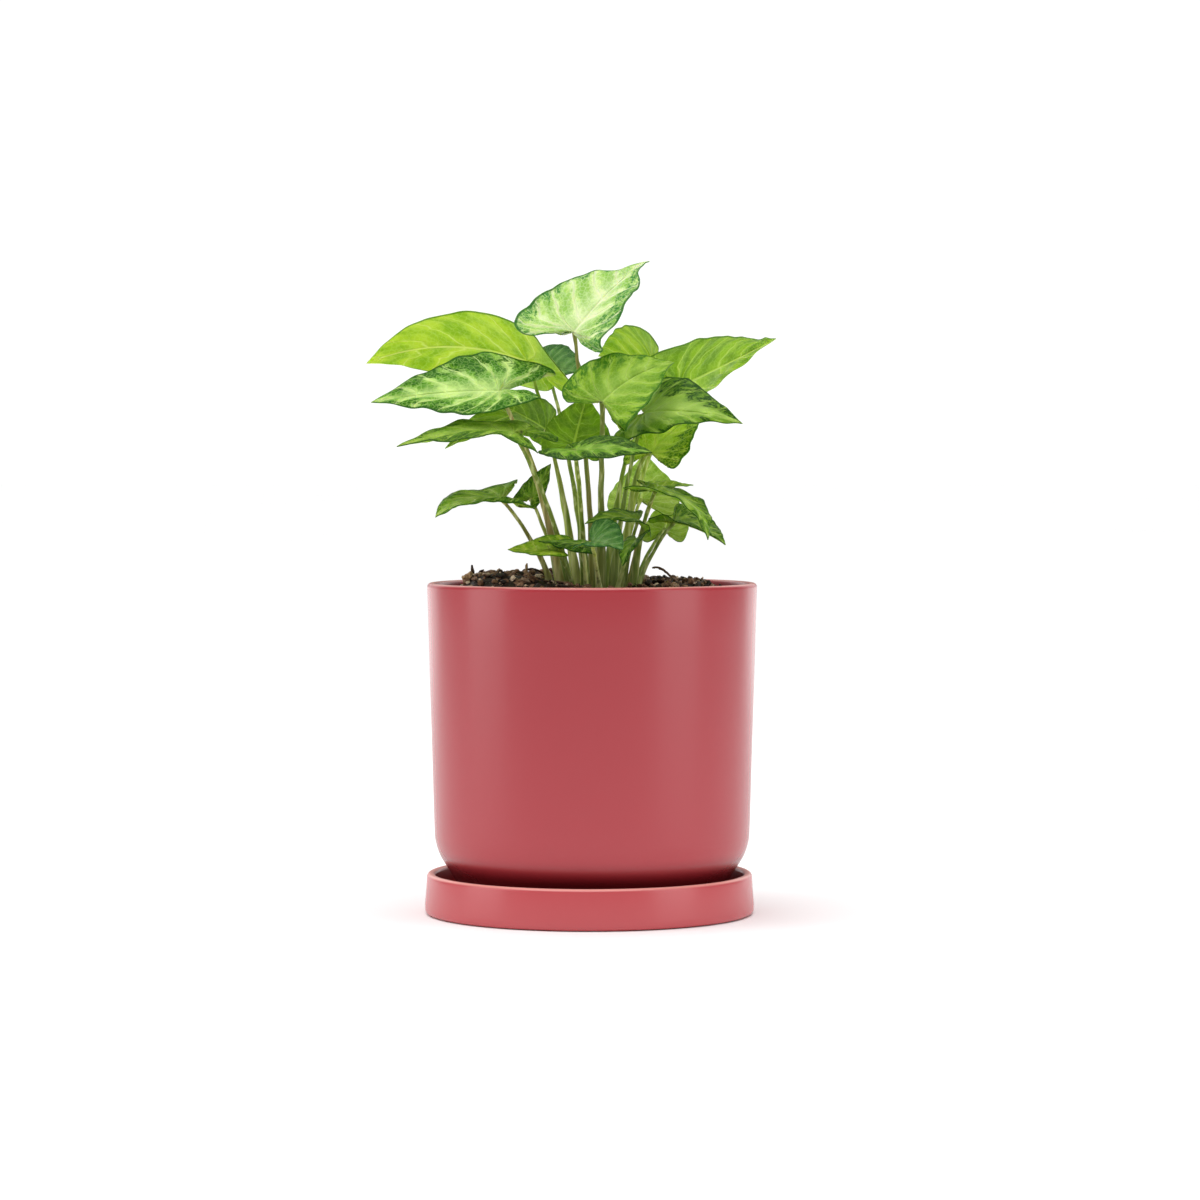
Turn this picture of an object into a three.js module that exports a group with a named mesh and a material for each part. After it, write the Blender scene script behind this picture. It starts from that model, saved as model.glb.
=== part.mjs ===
// A potted syngonium: a plain ceramic pot on its saucer, soil, and a clump of arrowhead leaves.
// Millimetres. Z is up, the viewer stands on the -Y side and +X is to the viewer's right.
// The origin is the centre of the saucer's flat underside.
import * as THREE from "three";

// driving dimensions
const GAP = 0.3;                    // clearance left between neighbouring pieces

const SAUCER_RADIUS = 75.9;         // outside, near the foot
const SAUCER_HEIGHT = 18.5;
const SAUCER_FLOOR = 5;             // thickness of the saucer's floor
const SAUCER_LIP = 71;              // radius inside the lip
const SAUCER_SIDES = 44;

const POT_AXIS_X = 1.2;             // the pot stands this far off the middle of the saucer
const POT_RIM_RADIUS = 76;
const POT_TOP = 152.2;              // height of the rim above the table
const POT_WALL = 4;
const POT_WAIST_RADIUS = 72.5;      // where the straight wall meets the rounded base
const POT_WAIST_Z = 33;
const POT_FOOT_RADIUS = 57;
const POT_FLOOR_Z = 11.3;           // top of the pot's floor, above the table
const DRAIN_RADIUS = 6;
const POT_SIDES = 44;

const SOIL_FLAT_Z = 147;            // level of the soil where the stems come out
const CROWN_X = 3;
const CROWN_Y = -2;
const CROWN_RADIUS = 22.6;

const STEM_FOOT = 2.1;              // radius of a stem at the soil
const STEM_TIP = 0.85;              // radius of a stem at its leaf
const BLADE_THICKNESS = 0.5;
const SHORTEST_EDGE = 1;            // veins that start closer than this to the stem start at it

const GLAZE = 0xac474f;
const GLAZE_ROUGHNESS = 0.38;
const SOIL_COLOUR = 0x3b2a20;
const BARK_COLOUR = 0x6b4a33;
const STEM_COLOUR = 0x8fa562;
const LIME = 0x9fc23a;
const PALE = 0xb4d392;
const DEEP = 0x3f7a22;

// small helpers
const radians = THREE.MathUtils.degToRad;
const vector = (x, y, z) => new THREE.Vector3(x, y, z);
const clamp = THREE.MathUtils.clamp;

/** Point of a Bezier curve of any degree, for points given as arrays. */
function bezier(points, t) {
  let level = points;
  while (level.length > 1) {
    const next = [];
    for (let i = 0; i + 1 < level.length; i += 1) {
      next.push(level[i].map((value, axis) => value + (level[i + 1][axis] - value) * t));
    }
    level = next;
  }
  return level[0];
}

/** A closed body from its corner points and triangles. */
function body(name, points, triangles, material) {
  const geometry = new THREE.BufferGeometry();
  geometry.setAttribute("position", new THREE.Float32BufferAttribute(points.flat(), 3));
  geometry.setIndex(triangles.flat());
  geometry.computeVertexNormals();
  const mesh = new THREE.Mesh(geometry, material);
  mesh.name = name;
  return mesh;
}

function finish(colour, roughness) {
  return new THREE.MeshStandardMaterial({ color: colour, roughness, metalness: 0 });
}

/** Triangles that join ring after ring of the same number of points, faces out. */
function skin(rings, sides, closedLoop = false) {
  const triangles = [];
  const last = closedLoop ? rings : rings - 1;
  for (let ring = 0; ring < last; ring += 1) {
    const above = (ring + 1) % rings;
    for (let side = 0; side < sides; side += 1) {
      const next = (side + 1) % sides;
      const a = ring * sides + side;
      const b = ring * sides + next;
      const c = above * sides + next;
      const d = above * sides + side;
      triangles.push([a, b, c], [a, c, d]);
    }
  }
  return triangles;
}

/** Fans that close the first and the last ring on a middle point each. */
function caps(rings, sides, firstCentre, lastCentre) {
  const triangles = [];
  const start = (rings - 1) * sides;
  for (let side = 0; side < sides; side += 1) {
    const next = (side + 1) % sides;
    triangles.push([firstCentre, next, side], [lastCentre, start + side, start + next]);
  }
  return triangles;
}

/** Rings of points that turn a profile of [radius, height] about an upright axis. */
function turned(profile, sides, axisX) {
  const points = [];
  for (const [radius, z] of profile) {
    for (let side = 0; side < sides; side += 1) {
      const angle = (2 * Math.PI * side) / sides;
      points.push([axisX + radius * Math.cos(angle), radius * Math.sin(angle), z]);
    }
  }
  return points;
}

/** A round rod along a Bezier curve, with a radius for each share t of its length. */
function rod(name, curve, rings, sides, radiusAt, material, levelFoot = false) {
  const points = [];
  for (let ring = 0; ring < rings; ring += 1) {
    const t = ring / (rings - 1);
    const place = vector(...bezier(curve, t));
    const before = vector(...bezier(curve, Math.max(t - 0.02, 0)));
    const after = vector(...bezier(curve, Math.min(t + 0.02, 1)));
    const ahead = ring === 0 && levelFoot ? vector(0, 0, 1) : after.sub(before).normalize();
    const right = vector(0, 1, 0).cross(ahead).normalize();
    const away = ahead.clone().cross(right);
    for (let side = 0; side < sides; side += 1) {
      const angle = (2 * Math.PI * side) / sides;
      const spot = place.clone().addScaledVector(right, radiusAt(t) * Math.cos(angle));
      points.push(spot.addScaledVector(away, radiusAt(t) * Math.sin(angle)).toArray());
    }
  }
  points.push(curve[0], curve[curve.length - 1]);
  const triangles = skin(rings, sides);
  triangles.push(...caps(rings, sides, rings * sides, rings * sides + 1));
  return body(name, points, triangles, material);
}

// pot and saucer
function makeSaucer() {
  const r = SAUCER_RADIUS;
  const lip = SAUCER_LIP;
  const top = SAUCER_HEIGHT;
  const profile = [
    [r - 3, 0], [r - 0.9, 0.9], [r, 3], [r - 0.7, top - 2], [r - 1.3, top - 0.5], [r - 2.8, top],
    [lip + 0.6, top - 0.5], [lip, top - 2], [lip - 0.8, SAUCER_FLOOR + 2.4], [lip - 4, SAUCER_FLOOR],
  ];
  const points = turned(profile, SAUCER_SIDES, 0);
  points.push([0, 0, 0], [0, 0, SAUCER_FLOOR]);
  const triangles = skin(profile.length, SAUCER_SIDES);
  const count = profile.length * SAUCER_SIDES;
  triangles.push(...caps(profile.length, SAUCER_SIDES, count, count + 1));
  return body("saucer", points, triangles, finish(GLAZE, GLAZE_ROUGHNESS));
}

function potInnerRadius(z) {
  const share = (z - POT_WAIST_Z) / (POT_TOP - POT_WAIST_Z);
  return POT_WAIST_RADIUS - POT_WALL + share * (POT_RIM_RADIUS - POT_WAIST_RADIUS);
}

function makePot() {
  const foot = SAUCER_FLOOR + GAP;
  const r = POT_RIM_RADIUS;
  const inner = potInnerRadius(POT_TOP - 2.4);
  const profile = [
    [POT_FOOT_RADIUS, foot], [65, 19], [67.7, 23], [69.6, 25.7], [71.3, 29.3], [POT_WAIST_RADIUS, POT_WAIST_Z],
    [r - 0.1, POT_TOP - 2.8], [r - 0.6, POT_TOP - 0.8], [r - 2, POT_TOP], [inner + 0.6, POT_TOP - 0.6],
    [inner, POT_TOP - 2.4], [potInnerRadius(POT_WAIST_Z), POT_WAIST_Z], [64.5, 20], [56, POT_FLOOR_Z],
    [DRAIN_RADIUS, POT_FLOOR_Z], [DRAIN_RADIUS, foot],
  ];
  const points = turned(profile, POT_SIDES, POT_AXIS_X);
  const triangles = skin(profile.length, POT_SIDES, true);
  return body("pot", points, triangles, finish(GLAZE, GLAZE_ROUGHNESS));
}

// soil
/** A repeatable small lump for a place on the soil, between -1 and 1. */
function lump(x, y) {
  return Math.sin(x * 0.61 + 1.3 * Math.sin(y * 0.47)) * Math.cos(y * 0.53 + 1.7 * Math.sin(x * 0.39));
}

/** Height of the soil: flat where the stems come out, heaped beside them, low along the wall. */
function soilHeight(x, y) {
  const fromAxis = Math.hypot(x - POT_AXIS_X, y);
  const fromCrown = Math.hypot(x - CROWN_X, y - CROWN_Y);
  const heap = x < 0 ? 9 : 6;
  const rise = clamp((fromCrown - CROWN_RADIUS) / 9, 0, 1);
  const fall = clamp((70 - fromAxis) / 18, 0, 1);
  const front = y < -20 ? clamp((y + 55) / 35, 0.15, 1) : 1;
  return SOIL_FLAT_Z - 3 * (1 - fall) + rise * fall * front * heap + rise * 1.1 * lump(x, y);
}

function makeSoil() {
  const sides = 30;
  const floor = POT_FLOOR_Z + GAP;
  const points = [];
  const wall = [[55.5, floor], [63.6, 20.3], [potInnerRadius(POT_WAIST_Z) - GAP - 0.3, POT_WAIST_Z], [70.9, 143]];
  const apothem = Math.cos(Math.PI / POT_SIDES);
  for (const [radius, z] of wall) {
    points.push(...turned([[radius * apothem, z]], sides, POT_AXIS_X));
  }
  const shares = [0.93, 0.82, 0.7, 0.57, 0.43, 0.3];
  for (const share of shares) {
    for (let side = 0; side < sides; side += 1) {
      const angle = (2 * Math.PI * side) / sides;
      const centreX = POT_AXIS_X + (1 - share) * (CROWN_X - POT_AXIS_X);
      const x = centreX + 70.4 * share * Math.cos(angle);
      const y = (1 - share) * CROWN_Y + 70.4 * share * Math.sin(angle);
      points.push([x, y, soilHeight(x, y)]);
    }
  }
  const rings = wall.length + shares.length;
  points.push([POT_AXIS_X, 0, floor], [CROWN_X, CROWN_Y, SOIL_FLAT_Z]);
  const triangles = skin(rings, sides);
  triangles.push(...caps(rings, sides, rings * sides, rings * sides + 1));
  return body("soil", points, triangles, finish(SOIL_COLOUR, 0.95));
}

// Loose bits on the soil: each a tapered rod through [x, y, height above the soil].
const BITS = [
  { name: "bark_chip", path: [[-58.5, 1, 2.4], [-56, 0, 2.7], [-54.2, -1, 2.2]], start: 1.7, end: 1.4 },
  { name: "bark_sliver", path: [[-53.6, 4, 0.7], [-53.9, 4, 4], [-54.6, 4, 7]], start: 1.1, end: 0.3 },
  { name: "bark_shard", path: [[-29.5, 3, 1], [-29.3, 3, 3], [-28.8, 3, 5.6]], start: 0.8, end: 0.5 },
  { name: "root_arc", path: [[-30, 12, 1.3], [-24, 12, 6.5], [-15.5, 13, 1.4]], start: 0.6, end: 0.45 },
  { name: "twig", path: [[29, 9, 7.5], [33, 9, 7], [38.5, 10, 0.9]], start: 0.6, end: 0.5 },
];

function makeBit(bit) {
  const curve = bit.path.map(([x, y, lift]) => [x, y, soilHeight(x, y) + lift]);
  return rod(bit.name, curve, 6, 5, (t) => bit.start + (bit.end - bit.start) * t, finish(BARK_COLOUR, 0.9));
}

// leaves
// Each leaf is one row: where its stem meets the blade, its tip, and the blade's form.
//   roll   turn of the blade about its length, degrees, positive towards the blade's own left
//   width  half widths, left and right of the midrib
//   arch   bow of the midrib out of the blade, as a share of the length; sweep is the bow sideways
//   fold   lift of each half from the midrib, degrees; droop is how far each ear hangs
//   ear    length of each ear behind the stem, as a share of the length; spread is how far apart
//   foot   where the stem leaves the soil; bend is how late the stem leans over
const LEAVES = [
  {
    name: "high_left", kind: "lime", at: [-29, 27, 255], tip: [-105, 40, 254], foot: [-6, 8], bend: 0,
    roll: -28, twist: 29, arch: 0.13, sweep: 0.16, cup: -0.06, taper: 0.26, width: [27, 27],
    fold: [7, 1], ear: [0.37, 0.2], spread: [0.57, 0.64], droop: [34, -6], seat: 0.7,
  },
  {
    name: "pale_left", kind: "pale", at: [-41, -16, 240], tip: [-100, -8, 235], foot: [-12, -7.5], bend: 0,
    roll: 32, twist: -13, arch: 0.03, sweep: -0.05, cup: -0.03, taper: 0.15, width: [22, 25],
    fold: [6, 13], ear: [0.44, 0.39], spread: [0.66, 0.74], droop: [-16, 13],
  },
  {
    name: "level_left", kind: "deep", at: [-34, -38, 221], tip: [-86, -34, 215], foot: [-8, -11], bend: 0,
    roll: 6, twist: -20, arch: 0.09, sweep: -0.14, cup: -0.07, taper: 0.25, width: [20, 19],
    fold: [6, 10], ear: [0.35, 0.33], spread: [0.65, 0.66], droop: [24, 17],
  },
  {
    name: "crown", kind: "pale", at: [-7, -8, 267], tip: [25, 20, 300], foot: [2, 1.5], bend: 0,
    roll: -10, twist: 0, arch: 0.14, sweep: -0.08, cup: 0.1, taper: 0.24, width: [27, 23],
    fold: [13, 3], ear: [0.29, 0.12], spread: [0.59, 0.72], droop: [-26, 46], seat: 0.5,
  },
  {
    name: "front", kind: "pale", at: [6, -30, 235], tip: [38, -16, 253], foot: [5, -11], bend: 0,
    roll: -29, twist: 8, arch: 0.21, sweep: -0.02, cup: -0.04, taper: 0.22, width: [23, 22],
    fold: [11, 2], ear: [0.28, 0.12], spread: [0.63, 0.85], droop: [1, 34],
  },
  {
    name: "high_right", kind: "lime", at: [42, 20, 243], tip: [88, 50, 266], foot: [11, 4], bend: 0,
    roll: 48, twist: 9, arch: 0, sweep: 0.01, cup: -0.04, taper: 0.21, width: [23, 24],
    fold: [6, 9], ear: [0.32, 0.37], spread: [0.66, 0.71], droop: [12, -20],
  },
  {
    name: "mottled_right", kind: "mottled", at: [25, -19, 230], tip: [69, -40, 225], foot: [10, -5.5], bend: 0,
    roll: -43, twist: -12, arch: 0.19, sweep: -0.03, cup: -0.08, taper: 0.17, width: [24, 16],
    fold: [4, 3], ear: [0.32, 0.32], spread: [0.66, 0.66], droop: [18, 13],
  },
  {
    name: "broad_right", kind: "lime", at: [28, -11, 212], tip: [53, 3, 231], foot: [14.5, -1], bend: 0.8,
    roll: -23, twist: -8, arch: 0.15, sweep: -0.01, cup: -0.01, taper: 0.21, width: [13, 22],
    fold: [9, 9], ear: [0.32, 0.08], spread: [0.66, 0.71], droop: [12, 17],
  },
  {
    name: "dark_centre", kind: "deep", at: [-6, -46, 213], tip: [28, -66, 212], foot: [-1.5, -9.5], bend: 0,
    roll: -18, twist: 9, arch: 0.05, sweep: 0.02, cup: -0.06, taper: 0.22, width: [14, 14],
    fold: [9, 6], ear: [0.32, 0.35], spread: [0.66, 0.65], droop: [16, -15],
  },
  {
    name: "far_round", kind: "lime", at: [29, 40, 255], tip: [4, 61, 258], foot: [7, 10], bend: 0,
    roll: -40, twist: -3, arch: 0.08, sweep: 0.05, cup: 0.02, taper: 0.21, width: [21, 16],
    fold: [10, 9], ear: [0.33, 0.32], spread: [0.66, 0.66], droop: [8, 12],
  },
  {
    name: "small_left", kind: "deep", at: [-40, -20, 191], tip: [-69, -48, 183], foot: [-16, -4], bend: 0,
    roll: 10, twist: 4, arch: 0.13, sweep: -0.09, cup: -0.13, taper: 0.19, width: [11, 18],
    fold: [8, 9], ear: [0.32, 0.42], spread: [0.66, 0.65], droop: [12, -23], seat: 0.5,
  },
  {
    name: "low_left", kind: "lime", at: [-15, -33, 168], tip: [-37, -27, 168], foot: [-6, -16.5], bend: 0,
    roll: 24, twist: -5, arch: 0.02, sweep: 0.02, cup: 0.04, taper: 0.21, width: [10, 11],
    fold: [9, 10], ear: [0.32, 0.32], spread: [0.66, 0.66], droop: [6, 12],
  },
  {
    name: "low_front", kind: "deep", at: [-3, -34, 171], tip: [-23, -34, 172], foot: [-1, -15.5], bend: 0,
    roll: 17, twist: 7, arch: -0.01, sweep: 0.02, cup: -0.11, taper: 0.2, width: [10, 7],
    fold: [1, 1], ear: [0.31, 0.32], spread: [0.66, 0.66], droop: [16, 12],
  },
  {
    name: "blue_front", kind: "blue", at: [1, -59, 172], tip: [15, -72, 169], foot: [5, -17], bend: 0,
    roll: -28, twist: -9, arch: 0.06, sweep: 0.06, cup: 0.09, taper: 0.22, width: [14, 9],
    fold: [13, 13], ear: [0.32, 0.32], spread: [0.69, 0.66], droop: [-2, 12],
  },
  {
    name: "low_centre", kind: "deep", at: [22, -23, 181], tip: [-2, -43, 180], foot: [15.5, -9], bend: 0,
    roll: 19, twist: 8, arch: 0.12, sweep: -0.01, cup: -0.04, taper: 0.2, width: [8, 11],
    fold: [8, 8], ear: [0.25, 0.25], spread: [0.65, 0.66], droop: [41, -18], seat: 0.5,
  },
  {
    name: "hook_right", kind: "deep", at: [30, -31, 195], tip: [53, -57, 173], foot: [19.5, -10.5], bend: 0.2,
    roll: 7, twist: -18, arch: 0.21, sweep: 0.18, cup: -0.07, taper: 0.21, width: [15, 10],
    fold: [14, 8], ear: [0.36, 0.32], spread: [0.65, 0.66], droop: [0, 12],
  },
  {
    name: "low_right", kind: "deep", at: [39, 0, 180], tip: [62, -22, 170], foot: [21, -4], bend: 0,
    roll: 4, twist: 1, arch: 0.11, sweep: -0.01, cup: 0.01, taper: 0.2, width: [16, 9],
    fold: [12, 13], ear: [0.35, 0.32], spread: [0.72, 0.66], droop: [-28, 12],
  },
  {
    name: "back_dark", kind: "blue", at: [-20, 60, 252], tip: [-3, 52, 250], foot: [-1, 11], bend: 0,
    roll: -43, twist: 0, arch: 0.06, sweep: 0.06, cup: -0.01, taper: 0.21, width: [15, 10],
    fold: [10, 9], ear: [0.36, 0.32], spread: [0.7, 0.66], droop: [-3, 12],
  },
  {
    name: "under_left", kind: "lime", at: [-20, 7, 223], tip: [-45, 14, 236], foot: [-5, 2], bend: 0,
    roll: -50, twist: 0, arch: 0.08, sweep: 0, cup: 0, taper: 0.2, width: [15, 13],
    fold: [5, 5], ear: [0.12, 0.3], spread: [0.65, 0.65], droop: [10, 10],
  },
  {
    name: "under_centre", kind: "lime", at: [-7, -11, 216], tip: [-1, -6, 238], foot: [-2, -4.5], bend: 0,
    roll: 158, twist: 21, arch: 0.03, sweep: -0.03, cup: -0.04, taper: 0.25, width: [13, 17],
    fold: [6, 4], ear: [0.32, 0.32], spread: [0.66, 0.66], droop: [6, 6], seat: 0.5,
  },
  {
    name: "lime_left", kind: "lime", at: [-36, 24, 230], tip: [-68, 38, 214], foot: [-10.5, 6.5], bend: 0,
    roll: -30, twist: 0, arch: 0.1, sweep: 0, cup: 0, taper: 0.2, width: [10, 9],
    fold: [8, 8], ear: [0.3, 0.3], spread: [0.65, 0.65], droop: [10, 10],
  },
  {
    name: "back_lime", kind: "lime", at: [24, 26, 190], tip: [26, 46, 212], foot: [13, 9.5], bend: 0,
    roll: 180, twist: 0, arch: 0.06, sweep: 0, cup: 0, taper: 0.2, width: [18, 16],
    fold: [8, 8], ear: [0.3, 0.3], spread: [0.65, 0.65], droop: [0, 0],
  },
  {
    name: "back_low", kind: "lime", at: [35, 28, 176], tip: [39, 44, 194], foot: [19.5, 8], bend: 0,
    roll: 180, twist: 0, arch: 0.06, sweep: 0, cup: 0, taper: 0.2, width: [11, 11],
    fold: [8, 8], ear: [0.3, 0.3], spread: [0.65, 0.65], droop: [0, 0],
  },
  {
    name: "rolled", kind: "lime", at: [31, 2, 196], tip: [48, 6, 197], foot: [18, 2.5], bend: 0,
    roll: -10, twist: 0, arch: 0.05, sweep: 0, cup: 0, taper: 0.2, width: [9, 10],
    fold: [8, 8], ear: [0.3, 0.3], spread: [0.65, 0.65], droop: [10, 10],
  },
  {
    name: "dark_low", kind: "deep", at: [21, -33, 173], tip: [15, -46, 161], foot: [12, -18], bend: 0,
    roll: -20, twist: 0, arch: 0.1, sweep: 0, cup: 0, taper: 0.2, width: [7, 7],
    fold: [8, 8], ear: [0.3, 0.3], spread: [0.65, 0.65], droop: [10, 10],
  },
  {
    name: "folded_left", kind: "deep", at: [-27, 3, 191], tip: [-18, 18, 207], foot: [-13, 2.5], bend: 0,
    roll: -60, twist: 0, arch: 0.13, sweep: 0, cup: -0.01, taper: 0.2, width: [9, 5],
    fold: [7, 9], ear: [0.3, 0.15], spread: [0.72, 0.66], droop: [26, 0],
  },
];

const COLOURS = { lime: LIME, pale: PALE, mottled: PALE, deep: DEEP, blue: 0x4f8f6a };

/** Place on the margin, as shares of length and half width, for t from the notch (0) to the tip (1). */
function margin(t, ear, spread, taper) {
  const inner = [[0, 0], [-0.3 * ear, 0.06], [-0.95 * ear, 0.5 * spread], [-ear, spread]];
  const shoulder = Math.min(0.22, ear + 0.02);
  const outer = [[-ear, spread], [-ear, 0.6 + 0.4 * spread], [-shoulder, 1], [0.06, 1]];
  const flank = [[0.06, 1], [0.4, 1], [0.72, taper + 0.16], [1, 0]];
  if (t <= 0.22) return bezier(inner, t / 0.22);
  if (t <= 0.44) return bezier(outer, (t - 0.22) / 0.22);
  return bezier(flank, (t - 0.44) / 0.56);
}

/** Where on the midrib the side vein that ends at margin place t starts. */
function veinRoot(t) {
  if (t >= 1) return 1;
  const [along, across] = margin(t, 0.3, 0.65, 0.2);
  const lead = along - 0.3 * across;
  return 0.5 * (lead + Math.hypot(lead, 0.06));
}

/** The blade as a curved sheet: point(u, v, side) is u along the length and v millimetres across. */
class Blade {
  constructor(leaf) {
    this.leaf = leaf;
    const at = vector(...leaf.at);
    const tip = vector(...leaf.tip);
    const chord = tip.clone().sub(at);
    this.length = chord.length();
    const along = chord.clone().normalize();
    const level = vector(0, 0, 1).addScaledVector(along, -along.z).normalize();
    const side = level.clone().cross(along);
    const roll = radians(leaf.roll);
    this.face = level.clone().multiplyScalar(Math.cos(roll)).addScaledVector(side, Math.sin(roll));
    this.left = this.face.clone().cross(along);
    const middle = at.clone().addScaledVector(chord, 0.5);
    middle.addScaledVector(this.face, leaf.arch * this.length);
    middle.addScaledVector(this.left, leaf.sweep * this.length);
    this.spine = [at, middle, tip];
  }

  point(u, v, side) {
    const leaf = this.leaf;
    const half = side > 0 ? 0 : 1;
    const [at, middle, tip] = this.spine;
    const s = clamp(u, 0, 1);
    const place = at.clone().multiplyScalar((1 - s) ** 2);
    place.addScaledVector(middle, 2 * s * (1 - s)).addScaledVector(tip, s * s);
    const ahead = middle.clone().sub(at).multiplyScalar(1 - s);
    ahead.addScaledVector(tip.clone().sub(middle), s).normalize();
    const across = this.left.clone().addScaledVector(ahead, -this.left.dot(ahead)).normalize();
    const up = ahead.clone().cross(across);
    const twist = radians(leaf.twist) * s;
    const acrossTurned = across.clone().multiplyScalar(Math.cos(twist)).addScaledVector(up, Math.sin(twist));
    const upTurned = up.clone().multiplyScalar(Math.cos(twist)).addScaledVector(across, -Math.sin(twist));
    const behind = Math.min(u, 0) * this.length;
    const droop = radians(leaf.droop[half]);
    place.addScaledVector(ahead, behind * Math.cos(droop));
    place.addScaledVector(upTurned, behind * Math.sin(droop));
    const fold = radians(leaf.fold[half]);
    const height = v * Math.sin(fold) + (leaf.cup * v * v) / leaf.width[half];
    place.addScaledVector(acrossTurned, side * v * Math.cos(fold));
    return place.addScaledVector(upTurned, height);
  }
}

/** A thin closed blade: an upper and a lower sheet joined round the margin. */
function makeBlade(leaf) {
  const blade = new Blade(leaf);
  const large = blade.length > 34;
  const ribs = large ? 12 : 9;
  const steps = large ? 3 : 2;
  const sheet = [];
  const index = new Map();
  const put = (key, place) => {
    index.set(key, sheet.length);
    sheet.push(place);
  };
  const roots = [];
  for (let rib = 0; rib <= ribs; rib += 1) {
    const t = rib / ribs;
    const start = rib === 0 ? 0 : veinRoot(t);
    const root = start * blade.length < SHORTEST_EDGE ? 0 : start;
    roots.push(root === 0 ? "0" : `${rib}`);
    if (rib === 0 || root > 0) put(`${rib}`, blade.point(root, 0, 1));
    if (rib === 0 || rib === ribs) continue;
    for (const side of [1, -1]) {
      const half = side > 0 ? 0 : 1;
      const [along, across] = margin(t, leaf.ear[half], leaf.spread[half], leaf.taper);
      for (let step = 1; step <= steps; step += 1) {
        const share = step / steps;
        const u = root + (along - root) * share;
        put(`${rib},${side},${step}`, blade.point(u, across * share * leaf.width[half], side));
      }
    }
  }
  const find = (rib, side, step) => {
    const onMidrib = step === 0 || rib === 0 || rib === ribs;
    return index.get(onMidrib ? roots[rib] : `${rib},${side},${step}`);
  };
  const upper = [];
  const edges = [];
  for (const side of [1, -1]) {
    for (let step = 0; step < steps; step += 1) {
      edges.push([side, find(1, side, step), find(1, side, step + 1)]);
    }
    for (let rib = 1; rib < ribs; rib += 1) {
      edges.push([side, find(rib, side, steps), find(rib + 1, side, steps)]);
      for (let step = 0; step < steps; step += 1) {
        const corners = [
          find(rib, side, step), find(rib + 1, side, step),
          find(rib + 1, side, step + 1), find(rib, side, step + 1),
        ];
        const ring = side > 0 ? corners : corners.reverse();
        for (const triangle of [[ring[0], ring[1], ring[2]], [ring[0], ring[2], ring[3]]]) {
          if (new Set(triangle).size === 3) upper.push(triangle);
        }
      }
    }
  }
  const rim = edges.map(([side, first, second]) => (side > 0 ? [first, second] : [second, first]));
  const normals = sheetNormals(sheet, upper);
  const count = sheet.length;
  const points = [];
  for (const lift of [0.5, -0.5]) {
    sheet.forEach((place, i) => {
      points.push(place.clone().addScaledVector(normals[i], lift * BLADE_THICKNESS).toArray());
    });
  }
  const triangles = [...upper];
  for (const [a, b, c] of upper) triangles.push([count + a, count + c, count + b]);
  for (const [a, b] of rim) triangles.push([a, b, count + b], [a, count + b, count + a]);
  return body(`leaf_${leaf.name}`, points, triangles, finish(COLOURS[leaf.kind], 0.45));
}

/** The direction the sheet faces at each of its points. */
function sheetNormals(sheet, triangles) {
  const normals = sheet.map(() => vector(0, 0, 0));
  for (const [a, b, c] of triangles) {
    const one = sheet[b].clone().sub(sheet[a]);
    const two = sheet[c].clone().sub(sheet[a]);
    const normal = one.cross(two).normalize();
    for (const corner of [a, b, c]) normals[corner].add(normal);
  }
  return normals.map((normal) => normal.normalize());
}

/** Corner points of a stem's curve, from the soil to just under its blade. */
function stemCurve(leaf) {
  const blade = new Blade(leaf);
  const foot = [leaf.foot[0], leaf.foot[1], SOIL_FLAT_Z + GAP];
  const lean = leaf.bend;
  const toward = leaf.at.map((value, axis) => value - foot[axis]);
  const shares = [[0.18, 0.18, 0.38], [0.6 - 0.35 * lean, 0.6 - 0.35 * lean, 0.75 + 0.25 * lean]];
  const bends = shares.map((share) => foot.map((value, axis) => value + toward[axis] * share[axis]));
  const arriving = vector(...leaf.at).sub(vector(...bends[1])).normalize();
  const tilt = arriving.clone().cross(blade.face).length();
  const clear = BLADE_THICKNESS / 2 + GAP + (leaf.seat ?? 0.05) + STEM_TIP * tilt;
  const end = vector(...leaf.at).addScaledVector(blade.face, -clear);
  return [foot, bends[0], bends[1], end.toArray()];
}

function makeStem(leaf) {
  const tall = leaf.at[2] - SOIL_FLAT_Z > 40;
  const foot = tall ? STEM_FOOT : 0.75 * STEM_FOOT;
  const radius = (t) => STEM_TIP + (foot - STEM_TIP) * (1 - t) ** 2;
  return rod(`stem_${leaf.name}`, stemCurve(leaf), 8, 6, radius, finish(STEM_COLOUR, 0.55), true);
}

const part = new THREE.Group();
part.name = "potted_syngonium";
part.add(makeSaucer(), makePot(), makeSoil(), ...BITS.map(makeBit));
for (const leaf of LEAVES) {
  part.add(makeStem(leaf), makeBlade(leaf));
}

export default part;
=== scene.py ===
"""Looks of a potted syngonium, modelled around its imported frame.

Lengths in the tables are millimetres, as in the part's source, and every mesh is in metres.
Z is up, the viewer stands on the -Y side and +X is to the viewer's right.
"""

import logging
import math
import random
from dataclasses import dataclass, field
from enum import Enum
from typing import Callable, Sequence, Union

import bpy
import numpy as np
from mathutils import Euler, Matrix, Vector, noise


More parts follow.
